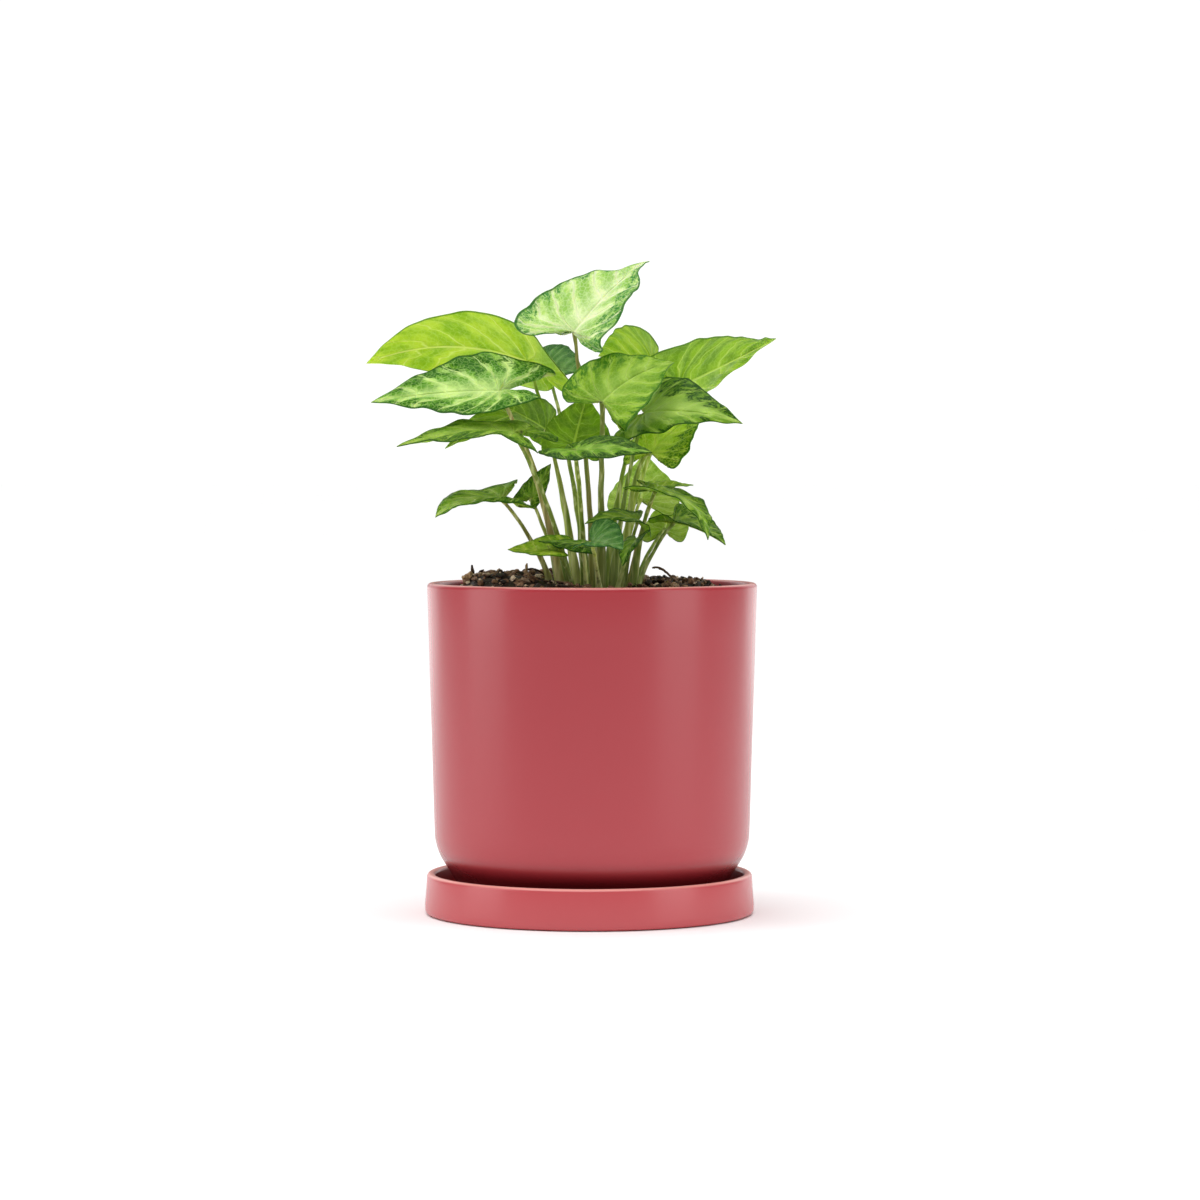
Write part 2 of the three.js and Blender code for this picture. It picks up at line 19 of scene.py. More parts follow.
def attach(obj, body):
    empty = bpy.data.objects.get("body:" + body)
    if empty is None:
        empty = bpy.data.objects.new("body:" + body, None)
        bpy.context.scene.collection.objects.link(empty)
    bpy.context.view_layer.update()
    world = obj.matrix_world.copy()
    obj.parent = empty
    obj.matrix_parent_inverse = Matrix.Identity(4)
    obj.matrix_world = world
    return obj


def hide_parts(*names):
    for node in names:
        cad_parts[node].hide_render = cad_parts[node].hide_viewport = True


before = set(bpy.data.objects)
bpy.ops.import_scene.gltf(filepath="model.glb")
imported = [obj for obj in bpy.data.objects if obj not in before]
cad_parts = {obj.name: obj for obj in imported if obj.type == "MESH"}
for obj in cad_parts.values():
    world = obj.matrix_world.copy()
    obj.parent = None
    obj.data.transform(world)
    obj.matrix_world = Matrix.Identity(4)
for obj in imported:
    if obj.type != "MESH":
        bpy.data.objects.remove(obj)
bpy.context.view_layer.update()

LOG = logging.getLogger("syngonium")
MM = 0.001
VEINS = 9
CLOUD_SEED = 7
EAR = 0.22
POT_AXIS = 1.2
SOIL_LEVEL = 147.0
LEAF_IOR = 1.42
GLOW = (0.8, 1.0, 0.2)
Colour = tuple[int, int, int]
Point = tuple[float, float, float]
Pair = tuple[float, float]
Socket = bpy.types.NodeSocket
Feed = Union[Socket, float, Sequence[float]]
Piece = bpy.types.Object


# ---- bench: selecting, modifying and finishing pieces ----

def clear_selection() -> None:
    """Go back to object mode with nothing selected."""
    if bpy.context.object and bpy.context.object.mode != "OBJECT":
        bpy.ops.object.mode_set(mode="OBJECT")
    bpy.ops.object.select_all(action="DESELECT")


def take(piece: Piece) -> None:
    """Make one piece the only selected and the active one.

    Args:
        piece: the object to work on.
    """
    clear_selection()
    piece.select_set(True)
    bpy.context.view_layer.objects.active = piece


def points_of(piece: Piece) -> np.ndarray:
    """Read the corner points of a mesh piece.

    Args:
        piece: a mesh object in object mode.

    Returns:
        One row of x, y, z in metres for each point.
    """
    flat = np.empty(len(piece.data.vertices) * 3, np.float32)
    piece.data.vertices.foreach_get("co", flat)
    return flat.reshape(-1, 3).astype(float)


def put_points(piece: Piece, points: np.ndarray) -> None:
    """Move the corner points of a mesh piece.

    Args:
        piece: a mesh object in object mode.
        points: one row of x, y, z in metres for each point.
    """
    piece.data.vertices.foreach_set("co", points.astype(np.float32).ravel())
    piece.data.update()


def pick_points(piece: Piece, chosen: np.ndarray) -> None:
    """Select some points of a piece and enter edit mode on them.

    Args:
        piece: a mesh object.
        chosen: one truth value for each point.
    """
    take(piece)
    mesh = piece.data
    mesh.vertices.foreach_set("select", chosen.astype(bool))
    mesh.edges.foreach_set("select", np.zeros(len(mesh.edges), bool))
    mesh.polygons.foreach_set("select", np.zeros(len(mesh.polygons), bool))
    bpy.ops.object.mode_set(mode="EDIT")
    bpy.ops.mesh.select_mode(type="VERT")


def pick_all(piece: Piece) -> None:
    """Enter edit mode on a piece with all of it selected.

    Args:
        piece: a mesh object.
    """
    take(piece)
    bpy.ops.object.mode_set(mode="EDIT")
    bpy.ops.mesh.select_all(action="SELECT")


def close_seams(piece: Piece, gap: float = 2e-5) -> None:
    """Merge the points that meet and turn all faces outwards.

    Args:
        piece: a mesh object.
        gap: how near two points lie to be one, in metres.
    """
    pick_all(piece)
    bpy.ops.mesh.remove_doubles(threshold=gap)
    bpy.ops.mesh.normals_make_consistent(inside=False)
    bpy.ops.object.mode_set(mode="OBJECT")


def apply_modifier(piece: Piece, kind: str, **settings: object) -> None:
    """Add a modifier to a piece, set it and apply it.

    Args:
        piece: a mesh object.
        kind: the modifier's type.
        **settings: its properties by name.
    """
    take(piece)
    modifier = piece.modifiers.new(kind.title(), kind)
    for key, value in settings.items():
        setattr(modifier, key, value)
    bpy.ops.object.modifier_apply(modifier=modifier.name)


def smooth(piece: Piece, degrees: float = 180.0) -> None:
    """Shade a piece smooth where its faces meet at less than an angle.

    Args:
        piece: a mesh object.
        degrees: the largest angle that is still smooth.
    """
    take(piece)
    if degrees >= 180:
        bpy.ops.object.shade_smooth()
    else:
        bpy.ops.object.shade_smooth_by_angle(angle=math.radians(degrees))


def gather(pieces: Sequence[Piece], name: str) -> Piece:
    """Join several mesh pieces into one.

    Args:
        pieces: mesh objects, of which the first keeps its materials' order.
        name: what the joined piece is called.

    Returns:
        The joined piece.
    """
    clear_selection()
    for piece in pieces:
        piece.select_set(True)
    bpy.context.view_layer.objects.active = pieces[0]
    bpy.ops.object.join()
    joined = bpy.context.object
    joined.name = name
    joined.data.name = name
    return joined


def dress(piece: Piece, slot: str, *materials: bpy.types.Material) -> None:
    """Give a piece its materials and let it ride on the one body.

    Args:
        piece: a finished object at the origin.
        slot: the record's material slot; not used.
        *materials: the materials in the order of the faces' numbers.
    """
    slots = piece.data.materials
    for number, material in enumerate(materials):
        if number < len(slots):
            slots[number] = material
        else:
            slots.append(material)
    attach(piece, "root")
    LOG.info("%s: %d faces", piece.name, len(piece.data.polygons))


# ---- materials: a small writer of node graphs ----

def shade_of(colour: Colour) -> tuple[float, float, float, float]:
    """Turn a display colour of 0 to 255 into the linear one that shaders take.

    Args:
        colour: red, green and blue.

    Returns:
        The linear colour, with an alpha of 1.
    """
    parts = [value / 255 for value in colour]
    linear = [v / 12.92 if v <= 0.04045 else ((v + 0.055) / 1.055) ** 2.4 for v in parts]
    return (linear[0], linear[1], linear[2], 1.0)


class Recipe:
    """Writes one material's node graph as nested calls."""

    def __init__(self, name: str) -> None:
        """Start an empty graph.

        Args:
            name: the material's name.
        """
        self.material = bpy.data.materials.new(name)
        self.material.use_nodes = True
        self.tree = self.material.node_tree
        self.tree.nodes.clear()

    def node(self, kind: str, inputs: dict[Union[str, int], Feed],
             **settings: object) -> bpy.types.Node:
        """Add a node, set it and feed its inputs.

        Args:
            kind: the node's type name after ShaderNode.
            inputs: a socket or a constant for each input, by name or number.
            **settings: the node's properties by name.

        Returns:
            The new node.
        """
        made = self.tree.nodes.new("ShaderNode" + kind)
        for key, value in settings.items():
            setattr(made, key, value)
        for key, value in inputs.items():
            if isinstance(value, bpy.types.NodeSocket):
                self.tree.links.new(value, made.inputs[key])
            else:
                made.inputs[key].default_value = value
        return made

    def place(self, scale: Point = (1, 1, 1), shift: Feed = (0, 0, 0)) -> Socket:
        """Object coordinates, scaled and shifted."""
        spot = self.node("TexCoord", {}).outputs["Object"]
        return self.node("Mapping", {"Vector": spot, "Scale": scale, "Location": shift}).outputs[0]

    def ribs(self) -> tuple[Socket, Socket]:
        """The blade's own map: across from margin to margin, and along the margin from notch to tip.

        Returns:
            The two places, each from 0 to 1.
        """
        spot = self.node("UVMap", {}, uv_map="Ribs").outputs[0]
        parts = self.node("SeparateXYZ", {0: spot}).outputs
        return parts[0], parts[1]

    def note(self, name: str) -> Socket:
        """A number stored on the mesh under a name."""
        return self.node("Attribute", {}, attribute_name=name).outputs["Fac"]

    def calc(self, operation: str, a: Feed, b: Feed = 0.0, c: Feed = 0.0) -> Socket:
        """One step of arithmetic on one, two or three numbers."""
        return self.node("Math", {0: a, 1: b, 2: c}, operation=operation).outputs[0]

    def plus(self, a: Feed, b: Feed) -> Socket:
        """The sum of two numbers."""
        return self.calc("ADD", a, b)

    def times(self, a: Feed, b: Feed) -> Socket:
        """The product of two numbers."""
        return self.calc("MULTIPLY", a, b)

    def scaled(self, a: Feed, factor: Feed, shift: Feed) -> Socket:
        """A number times a factor, plus a shift."""
        return self.calc("MULTIPLY_ADD", a, factor, shift)

    def rest(self, share: Feed) -> Socket:
        """One less a share."""
        return self.calc("SUBTRACT", 1.0, share)

    def larger(self, a: Feed, b: Feed) -> Socket:
        """The larger of two numbers."""
        return self.calc("MAXIMUM", a, b)

    def join(self, x: Feed, y: Feed, z: Feed) -> Socket:
        """A vector of three numbers."""
        return self.node("CombineXYZ", {0: x, 1: y, 2: z}).outputs[0]

    def step(self, value: Feed, low: Feed, high: Feed, top: float = 1.0, base: float = 0.0) -> Socket:
        """A smooth step from base at low to top at high; low may be the larger."""
        inputs = {"Value": value, "From Min": low, "From Max": high, "To Min": base, "To Max": top}
        return self.node("MapRange", inputs, interpolation_type="SMOOTHSTEP").outputs[0]

    def speckle(self, spot: Feed, scale: float, detail: float = 2.0, rough: float = 0.5,
                warp: float = 0.0) -> Socket:
        """Cloudy noise between 0 and 1."""
        inputs = {"Vector": spot, "Scale": scale, "Detail": detail, "Roughness": rough, "Distortion": warp}
        return self.node("TexNoise", inputs).outputs[0]

    def net(self, spot: Feed, scale: float) -> Socket:
        """Distance to the nearest thread of a net of cells."""
        inputs = {"Vector": spot, "Scale": scale}
        return self.node("TexVoronoi", inputs, feature="DISTANCE_TO_EDGE").outputs[0]

    def blend(self, share: Feed, first: Union[Socket, Colour], second: Union[Socket, Colour]) -> Socket:
        """A mix of two colours, each a socket or a display colour.

        Args:
            share: how much of the second colour shows.
            first: the colour at 0.
            second: the colour at 1.

        Returns:
            The mixed colour.
        """
        made = self.tree.nodes.new("ShaderNodeMix")
        made.data_type = "RGBA"
        for number, value in ((0, share), (6, first), (7, second)):
            if isinstance(value, bpy.types.NodeSocket):
                self.tree.links.new(value, made.inputs[number])
            else:
                made.inputs[number].default_value = shade_of(value) if number else value
        return made.outputs[2]

    def bump(self, height: Socket, depth: float, strength: float = 1.0) -> Socket:
        """Relief from a height between 0 and 1, with its depth in metres."""
        return self.node("Bump", {"Height": height, "Distance": depth, "Strength": strength}).outputs[0]

    def surface(self, colour: Union[Socket, Colour], **inputs: Feed) -> bpy.types.Material:
        """End the graph in a shader.

        Args:
            colour: the base colour.
            **inputs: the shader's other inputs, by name with _ for a space.

        Returns:
            The finished material.
        """
        feeds = {key.replace("_", " "): value for key, value in inputs.items()}
        feeds["Base Color"] = colour if isinstance(colour, bpy.types.NodeSocket) else shade_of(colour)
        shader = self.node("BsdfPrincipled", feeds)
        self.node("OutputMaterial", {"Surface": shader.outputs[0]})
        return self.material


# ---- finishes ----

@dataclass(frozen=True)
class GlazeFinish:
    """Satin rose glaze, faintly cloudy, with painted light and shade: lighter towards the foot, darkest
    just above the saucer, and paler over the lip where it thins and where a highlight is painted.

    Attributes:
        body: the glaze's colour.
        cloud: the tone of its clouds.
        worn_and_highlight: its colour where it thins over an edge, together with a painted highlight along
            the lip.
        painted_bounce: a lighter tone towards the foot, painted light for the light thrown up from the
            floor.
        painted_recess_shade: a deep colour low down, painted shade for the gap just above the saucer.
        recess_shade: how much of that painted shade shows.
        roughness: how dull it is.
    """

    body: Colour = (160, 36, 46)
    cloud: Colour = (166, 43, 52)
    worn_and_highlight: Colour = (244, 172, 160)
    painted_bounce: Colour = (180, 60, 68)
    painted_recess_shade: Colour = (84, 10, 15)
    recess_shade: float = 0.88
    roughness: float = 0.27

    def make(self, name: str, lip: float) -> bpy.types.Material:
        """Write the glaze.

        Args:
            name: the material's name.
            lip: height in metres at which the glaze starts to thin and the painted highlight starts.

        Returns:
            The material.
        """
        mix = Recipe(name)
        spot = mix.place()
        height = mix.node("SeparateXYZ", {0: spot}).outputs[2]
        colour = mix.blend(mix.speckle(spot, 11, 0), self.body, self.cloud)
        # Painted light: lighter towards the foot, standing in for light thrown up from the floor.
        colour = mix.blend(mix.step(height, 0.14, 0.02, top=0.5), colour, self.painted_bounce)
        # Painted shade: a deep colour in the gap just above the saucer, where little light reaches.
        colour = mix.blend(mix.step(height, 0.031, 0.019, top=self.recess_shade), colour, self.painted_recess_shade)
        # Paler over the lip: the glaze thinning there, and a painted highlight along the edge.
        colour = mix.blend(mix.step(height, lip, lip + 0.0014, top=0.85), colour, self.worn_and_highlight)
        return mix.surface(colour, Roughness=self.roughness, IOR=1.5, Specular_IOR_Level=0.65)


class VeinForm:
    """Where the veins of a blade run, read from the blade's own map and its seed."""

    def __init__(self, mix: Recipe) -> None:
        """Work out the shares that the finishes of both faces need.

        Args:
            mix: the graph to write in.
        """
        self.mix = mix
        across, along = mix.ribs()
        seed = mix.note("seed")
        offset = mix.calc("SUBTRACT", across, 0.5)
        self.side = mix.calc("SIGN", offset)
        self.out = mix.times(mix.calc("ABSOLUTE", offset), 2.0)
        bend = mix.times(mix.times(self.out, self.out), -0.06)
        phase = mix.times(mix.plus(along, bend), float(VEINS))
        shake = self.drift(phase, 2.2, 0.8, mix.scaled(self.side, 1.7, seed), 2)
        phase = mix.plus(phase, mix.scaled(shake, 0.9, -0.45))
        self.gap = self.zigzag(phase)
        self.minor = self.zigzag(mix.times(phase, 3.0))
        lane = mix.scaled(self.side, 3.1, seed)
        self.streaks = self.drift(phase, 2.4, 2.2, lane, 3, 0.6, 0.3)
        self.flecks = self.drift(phase, 7.0, 5.0, lane, 3, 0.65, 0.5)
        self.spot = mix.place()

    def drift(self, phase: Socket, across: float, along: float, lane: Socket, *cloud: float) -> Socket:
        """Clouds drawn out on the blade's own map.

        Args:
            phase: place along the margin, counted in veins.
            across: how fine they are across the blade.
            along: how fine they are for each vein.
            lane: shifts them from half to half and from leaf to leaf.
            *cloud: their detail, roughness and distortion.

        Returns:
            A number between 0 and 1.
        """
        place = self.mix.join(self.mix.times(self.out, across), self.mix.times(phase, along), lane)
        return self.mix.speckle(place, 1.0, *cloud)

    def zigzag(self, phase: Socket) -> Socket:
        """Distance from the nearest line: 0 on it, 1 half way to the next."""
        return self.mix.calc("ABSOLUTE", self.mix.scaled(self.mix.calc("FRACT", phase), 2.0, -1.0))

    def threads(self, scale: float, width: float, top: float) -> Socket:
        """The net of the finest veins, its threads bent by a small cloud.

        Args:
            scale: how fine the net is.
            width: how far a thread reaches into its cells.
            top: how strongly the threads show.

        Returns:
            A number from 0 between the threads to top on them.
        """
        mix, reach = self.mix, (0.0018,) * 3
        cloud = mix.node("TexNoise", {"Vector": self.spot, "Scale": 300.0}).outputs["Color"]
        shift = mix.node("VectorMath", {0: cloud, 1: reach}, operation="MULTIPLY").outputs[0]
        bent = mix.node("VectorMath", {0: self.spot, 1: shift}, operation="ADD").outputs[0]
        return mix.step(mix.net(bent, scale), width, 0.02, top=top)

    def relief(self, line: Socket, middle: Socket, small: Socket, heights: Pair, fine: Socket) -> Socket:
        """Height of the face: its grain, and its veins sunken or raised.

        Args:
            line: share of the side veins.
            middle: share of the midrib.
            small: share of the finest veins.
            heights: how high the large and the fine veins stand, below 0 for sunken ones.
            fine: the grain.

        Returns:
            The height.
        """
        mix = self.mix
        high = mix.scaled(mix.larger(line, middle), heights[0], mix.times(fine, 0.2))
        return mix.scaled(small, heights[1], high)


@dataclass(frozen=True)
class BladeFinish:
    """The upper face of a blade: ground, pale heart and veins, dark margins that break into flecks.

    Attributes:
        name: what the finish is called.
        ground: colour between the veins.
        tone: second tone of the ground.
        vein: colour of the veins and of the pale heart.
        patch: colour of the dark margins.
        rim: colour of the very edge.
        cover: share of the left and of the right half that is dark, from the margin inwards.
        breaks: how far the dark margin breaks into flecks.
        flecks: how many flecks lie further in.
        heart: share of the half width that the pale heart takes.
        paleness: how pale the heart is.
        veins: how strongly the side veins show.
        net: how strongly the fine veins show.
        feather: how pale the blade is beside its side veins.
    """

    name: str
    ground: Colour
    tone: Colour
    vein: Colour
    patch: Colour
    rim: Colour
    cover: Pair
    breaks: float = 0.6
    flecks: float = 0.3
    heart: float = 0.14
    paleness: float = 0.35
    veins: float = 0.5
    net: float = 0.5
    feather: float = 0.35

    def make(self) -> bpy.types.Material:
        """Write the finish, with veins that follow the blade's own map.

        Returns:
            The material.
        """
        mix = Recipe(self.name)
        form = VeinForm(mix)
        out, gap = form.out, form.gap
        clouds = mix.speckle(form.spot, 60, 3, 0.6)
        fine = mix.speckle(form.spot, 620, 2, 0.6)
        threads = form.threads(460, 0.13, self.net)
        line = mix.step(gap, mix.scaled(out, -0.1, 0.17), 0.0)
        minor = mix.step(form.minor, mix.scaled(out, -0.1, 0.3), 0.0, top=0.4)
        middle = mix.step(out, 0.045, 0.012)
        small = mix.plus(threads, minor)
        wander = mix.scaled(form.streaks, 0.9, -0.45)

        between = mix.scaled(gap, 0.45, mix.scaled(form.flecks, 0.9, clouds))
        colour = mix.blend(mix.step(between, 0.95, 1.3), self.ground, self.tone)
        heart = mix.scaled(wander, -0.5, out)
        heart = mix.step(heart, self.heart + 0.3, self.heart - 0.12, top=self.paleness)
        colour = mix.blend(heart, colour, self.vein)
        near = mix.scaled(form.flecks, 0.9, mix.calc("SUBTRACT", gap, 0.45))
        feather = mix.step(near, mix.scaled(out, -0.6, 0.85), 0.0, top=self.feather)
        colour = mix.blend(feather, colour, self.vein)
        colour = mix.blend(mix.times(small, 0.45 * self.veins), colour, self.vein)
        colour = mix.blend(self.margins(mix, form, wander, threads, line), colour, self.patch)
        lines = mix.larger(mix.times(line, self.veins), mix.times(middle, 0.8))
        colour = mix.blend(lines, colour, self.vein)
        edge = mix.scaled(form.streaks, 0.03, out)
        colour = mix.blend(mix.step(edge, 0.962, 0.985, top=0.88), colour, self.rim)
        height = form.relief(line, middle, small, (-0.7, -0.25), fine)
        return mix.surface(colour, Roughness=mix.step(fine, 0.3, 0.7, top=0.5, base=0.4), IOR=LEAF_IOR,
                           Normal=mix.bump(height, 0.0004), Specular_IOR_Level=0.14, Subsurface_Weight=0.5,
                           Subsurface_Radius=GLOW, Subsurface_Scale=0.0012)

    def margins(self, mix: Recipe, form: VeinForm, wander: Socket, threads: Socket, line: Socket) -> Socket:
        """Share of the dark tone: margins that break into flecks, and single flecks further in.

        Args:
            mix: the graph to write in.
            form: where the veins run.
            wander: moves the inner edge of the dark margin in and out.
            threads: share of the finest veins, which stay pale.
            line: share of the side veins, which stay pale too.

        Returns:
            A number between 0 and 1.
        """
        left, right = self.cover
        depth = mix.scaled(form.gap, 0.16, mix.plus(form.out, wander))
        half = mix.times(form.side, 0.5 * (right - left))
        level = mix.calc("SUBTRACT", 1.1 - 0.5 * (left + right), half)
        dark = mix.step(mix.calc("SUBTRACT", depth, level), -0.06, 0.08)
        dark = mix.times(dark, mix.rest(mix.step(form.flecks, 0.53, 0.43, top=self.breaks)))
        few = self.flecks
        inner = mix.step(form.flecks, 0.76 - 0.12 * few, 0.8 - 0.1 * few, top=min(1.0, 3 * few))
        dark = mix.larger(dark, mix.times(inner, mix.step(depth, 0.15, 0.5)))
        dark = mix.times(dark, mix.rest(mix.times(threads, 0.55)))
        return mix.times(dark, mix.step(line, 1.0, 0.2, base=1 - 0.75 * self.veins))


@dataclass(frozen=True)
class UndersideFinish:
    """The lower face of a blade: an even, bright green that the light comes through, with raised veins.

    Attributes:
        name: what the finish is called.
        ground: colour between the veins.
        tone: second, deeper tone.
        vein: colour of the veins.
        rim: colour at the margin.
    """

    name: str
    ground: Colour
    tone: Colour
    vein: Colour
    rim: Colour

    def make(self) -> bpy.types.Material:
        """Write the finish.

        Returns:
            The material.
        """
        mix = Recipe(self.name)
        form = VeinForm(mix)
        out, gap = form.out, form.gap
        fine = mix.speckle(form.spot, 700, 2, 0.6)
        clouds = mix.speckle(form.spot, 85, 3, 0.6)
        line = mix.step(gap, mix.scaled(out, -0.08, 0.15), 0.0)
        middle = mix.step(out, 0.05, 0.015)
        small = mix.plus(form.threads(420, 0.12, 0.4), mix.step(form.minor, 0.3, 0.0, top=0.35))
        shade = mix.scaled(gap, 0.3, mix.scaled(form.streaks, 0.5, clouds))
        colour = mix.blend(mix.step(shade, 0.7, 1.1), self.ground, self.tone)
        colour = mix.blend(mix.times(small, 0.42), colour, self.vein)
        colour = mix.blend(mix.larger(mix.times(line, 0.6), mix.times(middle, 0.8)), colour, self.vein)
        colour = mix.blend(mix.step(out, 0.965, 0.988, top=0.8), colour, self.rim)
        height = form.relief(line, middle, small, (0.7, 0.2), fine)
        return mix.surface(colour, Roughness=0.5, IOR=LEAF_IOR, Normal=mix.bump(height, 0.00035),
                           Specular_IOR_Level=0.2, Subsurface_Weight=0.85, Subsurface_Radius=GLOW,
                           Subsurface_Scale=0.0018)


@dataclass(frozen=True)
class StemFinish:
    """Leaf stalks: pale at the foot, green above, with a few brownish ones and fine streaks along them.

    Attributes:
        foot: colour just above the soil.
        middle: colour of the sheathed part.
        top: colour near the blade.
        blush: brownish tint that some stalks take.
        shade: deeper green of the streaks and of some whole stalks.
    """

    foot: Colour = (232, 236, 164)
    middle: Colour = (190, 206, 96)
    top: Colour = (158, 184, 58)
    blush: Colour = (160, 124, 88)
    shade: Colour = (76, 112, 10)

    def make(self) -> bpy.types.Material:
        """Write the finish, graded by height.

        Returns:
            The material.
        """
        mix = Recipe("Stalk")
        spot = mix.place()
        height = mix.node("SeparateXYZ", {0: spot}).outputs[2]
        streaks = mix.speckle(mix.place((1.0, 1.0, 0.03)), 520, 1, 0.5)
        clouds = mix.speckle(mix.place((1.0, 1.0, 0.35)), 90, 2, 0.5)
        rise = mix.scaled(clouds, 0.03, height)
        colour = mix.blend(mix.step(rise, 0.160, 0.190), self.foot, self.middle)
        colour = mix.blend(mix.step(rise, 0.190, 0.245), colour, self.top)
        blush = mix.times(mix.note("blush"), mix.step(clouds, 0.3, 0.6, base=0.5))
        colour = mix.blend(blush, colour, self.blush)
        colour = mix.blend(mix.note("green"), colour, self.shade)
        colour = mix.blend(mix.step(streaks, 0.5, 0.7, top=0.45), colour, self.foot)
        colour = mix.blend(mix.step(streaks, 0.48, 0.3, top=0.5), colour, self.shade)
        return mix.surface(colour, Roughness=0.42, IOR=LEAF_IOR, Normal=mix.bump(streaks, 0.0002),
                           Specular_IOR_Level=0.3, Subsurface_Weight=0.3, Subsurface_Radius=(0.9, 1.0, 0.3),
                           Subsurface_Scale=0.0012)


@dataclass(frozen=True)
class GroundFinish:
    """Crumbs of bark and peat, each with its own tone, rough and fibrous.

    Attributes:
        name: what the finish is called.
        dark: the wettest tone.
        mid: the usual tone.
        light: the driest tone.
        grain: size of the grain, as a scale per metre.
    """

    name: str
    dark: Colour = (36, 24, 17)
    mid: Colour = (140, 104, 76)
    light: Colour = (236, 212, 180)
    grain: float = 700.0

    def make(self) -> bpy.types.Material:
        """Write the finish, with the tone stored on each crumb.

        Returns:
            The material.
        """
        mix = Recipe(self.name)
        spot = mix.place()
        tone = mix.note("tone")
        grain = mix.speckle(spot, self.grain, 3, 0.65)
        fibre = mix.speckle(mix.place((1.0, 0.25, 1.0)), self.grain * 1.6, 2, 0.6)
        level = mix.scaled(grain, 0.5, mix.calc("SUBTRACT", tone, 0.25))
        colour = mix.blend(mix.step(level, 0.1, 0.55), self.dark, self.mid)
        colour = mix.blend(mix.step(level, 0.62, 0.95), colour, self.light)
        colour = mix.blend(mix.step(fibre, 0.6, 0.35, top=0.5), colour, self.dark)
        return mix.surface(colour, Roughness=mix.step(grain, 0.3, 0.7, top=0.85, base=0.45), IOR=1.35,
                           Normal=mix.bump(mix.plus(grain, fibre), 0.0004))


# ---- pot and saucer ----

@dataclass
class TurnedForm:
    """A form turned about an upright axis, ring after ring, with some rings rounded.

    Attributes:
        name: the piece's name.
        axis_x: where the axis stands.
        corners: radius, height and rounding of each ring in millimetres.
        sides: corners round each ring.
        open_middle: whether the last ring meets the first one instead of the axis.
    """

    name: str
    axis_x: float
    corners: Sequence[tuple[float, float, float]]
    sides: int = 144
    open_middle: bool = False

    def ring(self, piece: Piece, radius: float, height: float) -> np.ndarray:
        """Tell which points lie on the ring of a radius and height in millimetres.

        Args:
            piece: the form.
            radius: of the ring.
            height: of the ring.

        Returns:
            One truth value for each point.
        """
        points = points_of(piece) / MM
        reach = np.hypot(points[:, 0] - self.axis_x, points[:, 1])
        return (abs(reach - radius) < 0.02) & (abs(points[:, 2] - height) < 0.02)

    def build(self) -> Piece:
        """Raise the rings by extruding each from the last, then round the marked ones.

        Returns:
            The closed form, not yet dressed.
        """
        clear_selection()
        radius, height, _ = self.corners[0]
        bpy.ops.mesh.primitive_circle_add(vertices=self.sides, radius=radius * MM, fill_type="NOTHING",
                                          location=(self.axis_x * MM, 0, height * MM))
        piece = bpy.context.object
        piece.name = piece.data.name = self.name
        bpy.ops.object.transform_apply(location=True)
        bpy.ops.object.mode_set(mode="EDIT")
        rings = list(self.corners[1:]) + ([self.corners[0]] if self.open_middle else [])
        for next_radius, next_height, _ in rings:
            rise = (next_height - height) * MM
            bpy.ops.mesh.extrude_edges_move(TRANSFORM_OT_translate={"value": (0, 0, rise)})
            share = next_radius / radius
            bpy.ops.transform.resize(value=(share, share, 1),
                                     center_override=(self.axis_x * MM, 0, next_height * MM))
            radius, height = next_radius, next_height
        bpy.ops.object.mode_set(mode="OBJECT")
        if not self.open_middle:
            for corner in (self.corners[0], self.corners[-1]):
                pick_points(piece, self.ring(piece, corner[0], corner[1]))
                bpy.ops.mesh.merge(type="CENTER")
                bpy.ops.object.mode_set(mode="OBJECT")
        close_seams(piece)
        for radius, height, rounding in self.corners:
            if rounding:
                pick_points(piece, self.ring(piece, radius, height))
                bpy.ops.mesh.select_mode(type="EDGE")
                bpy.ops.mesh.bevel(offset=rounding * MM, segments=7, affect="EDGES")
                bpy.ops.object.mode_set(mode="OBJECT")
        smooth(piece, 50)
        return piece


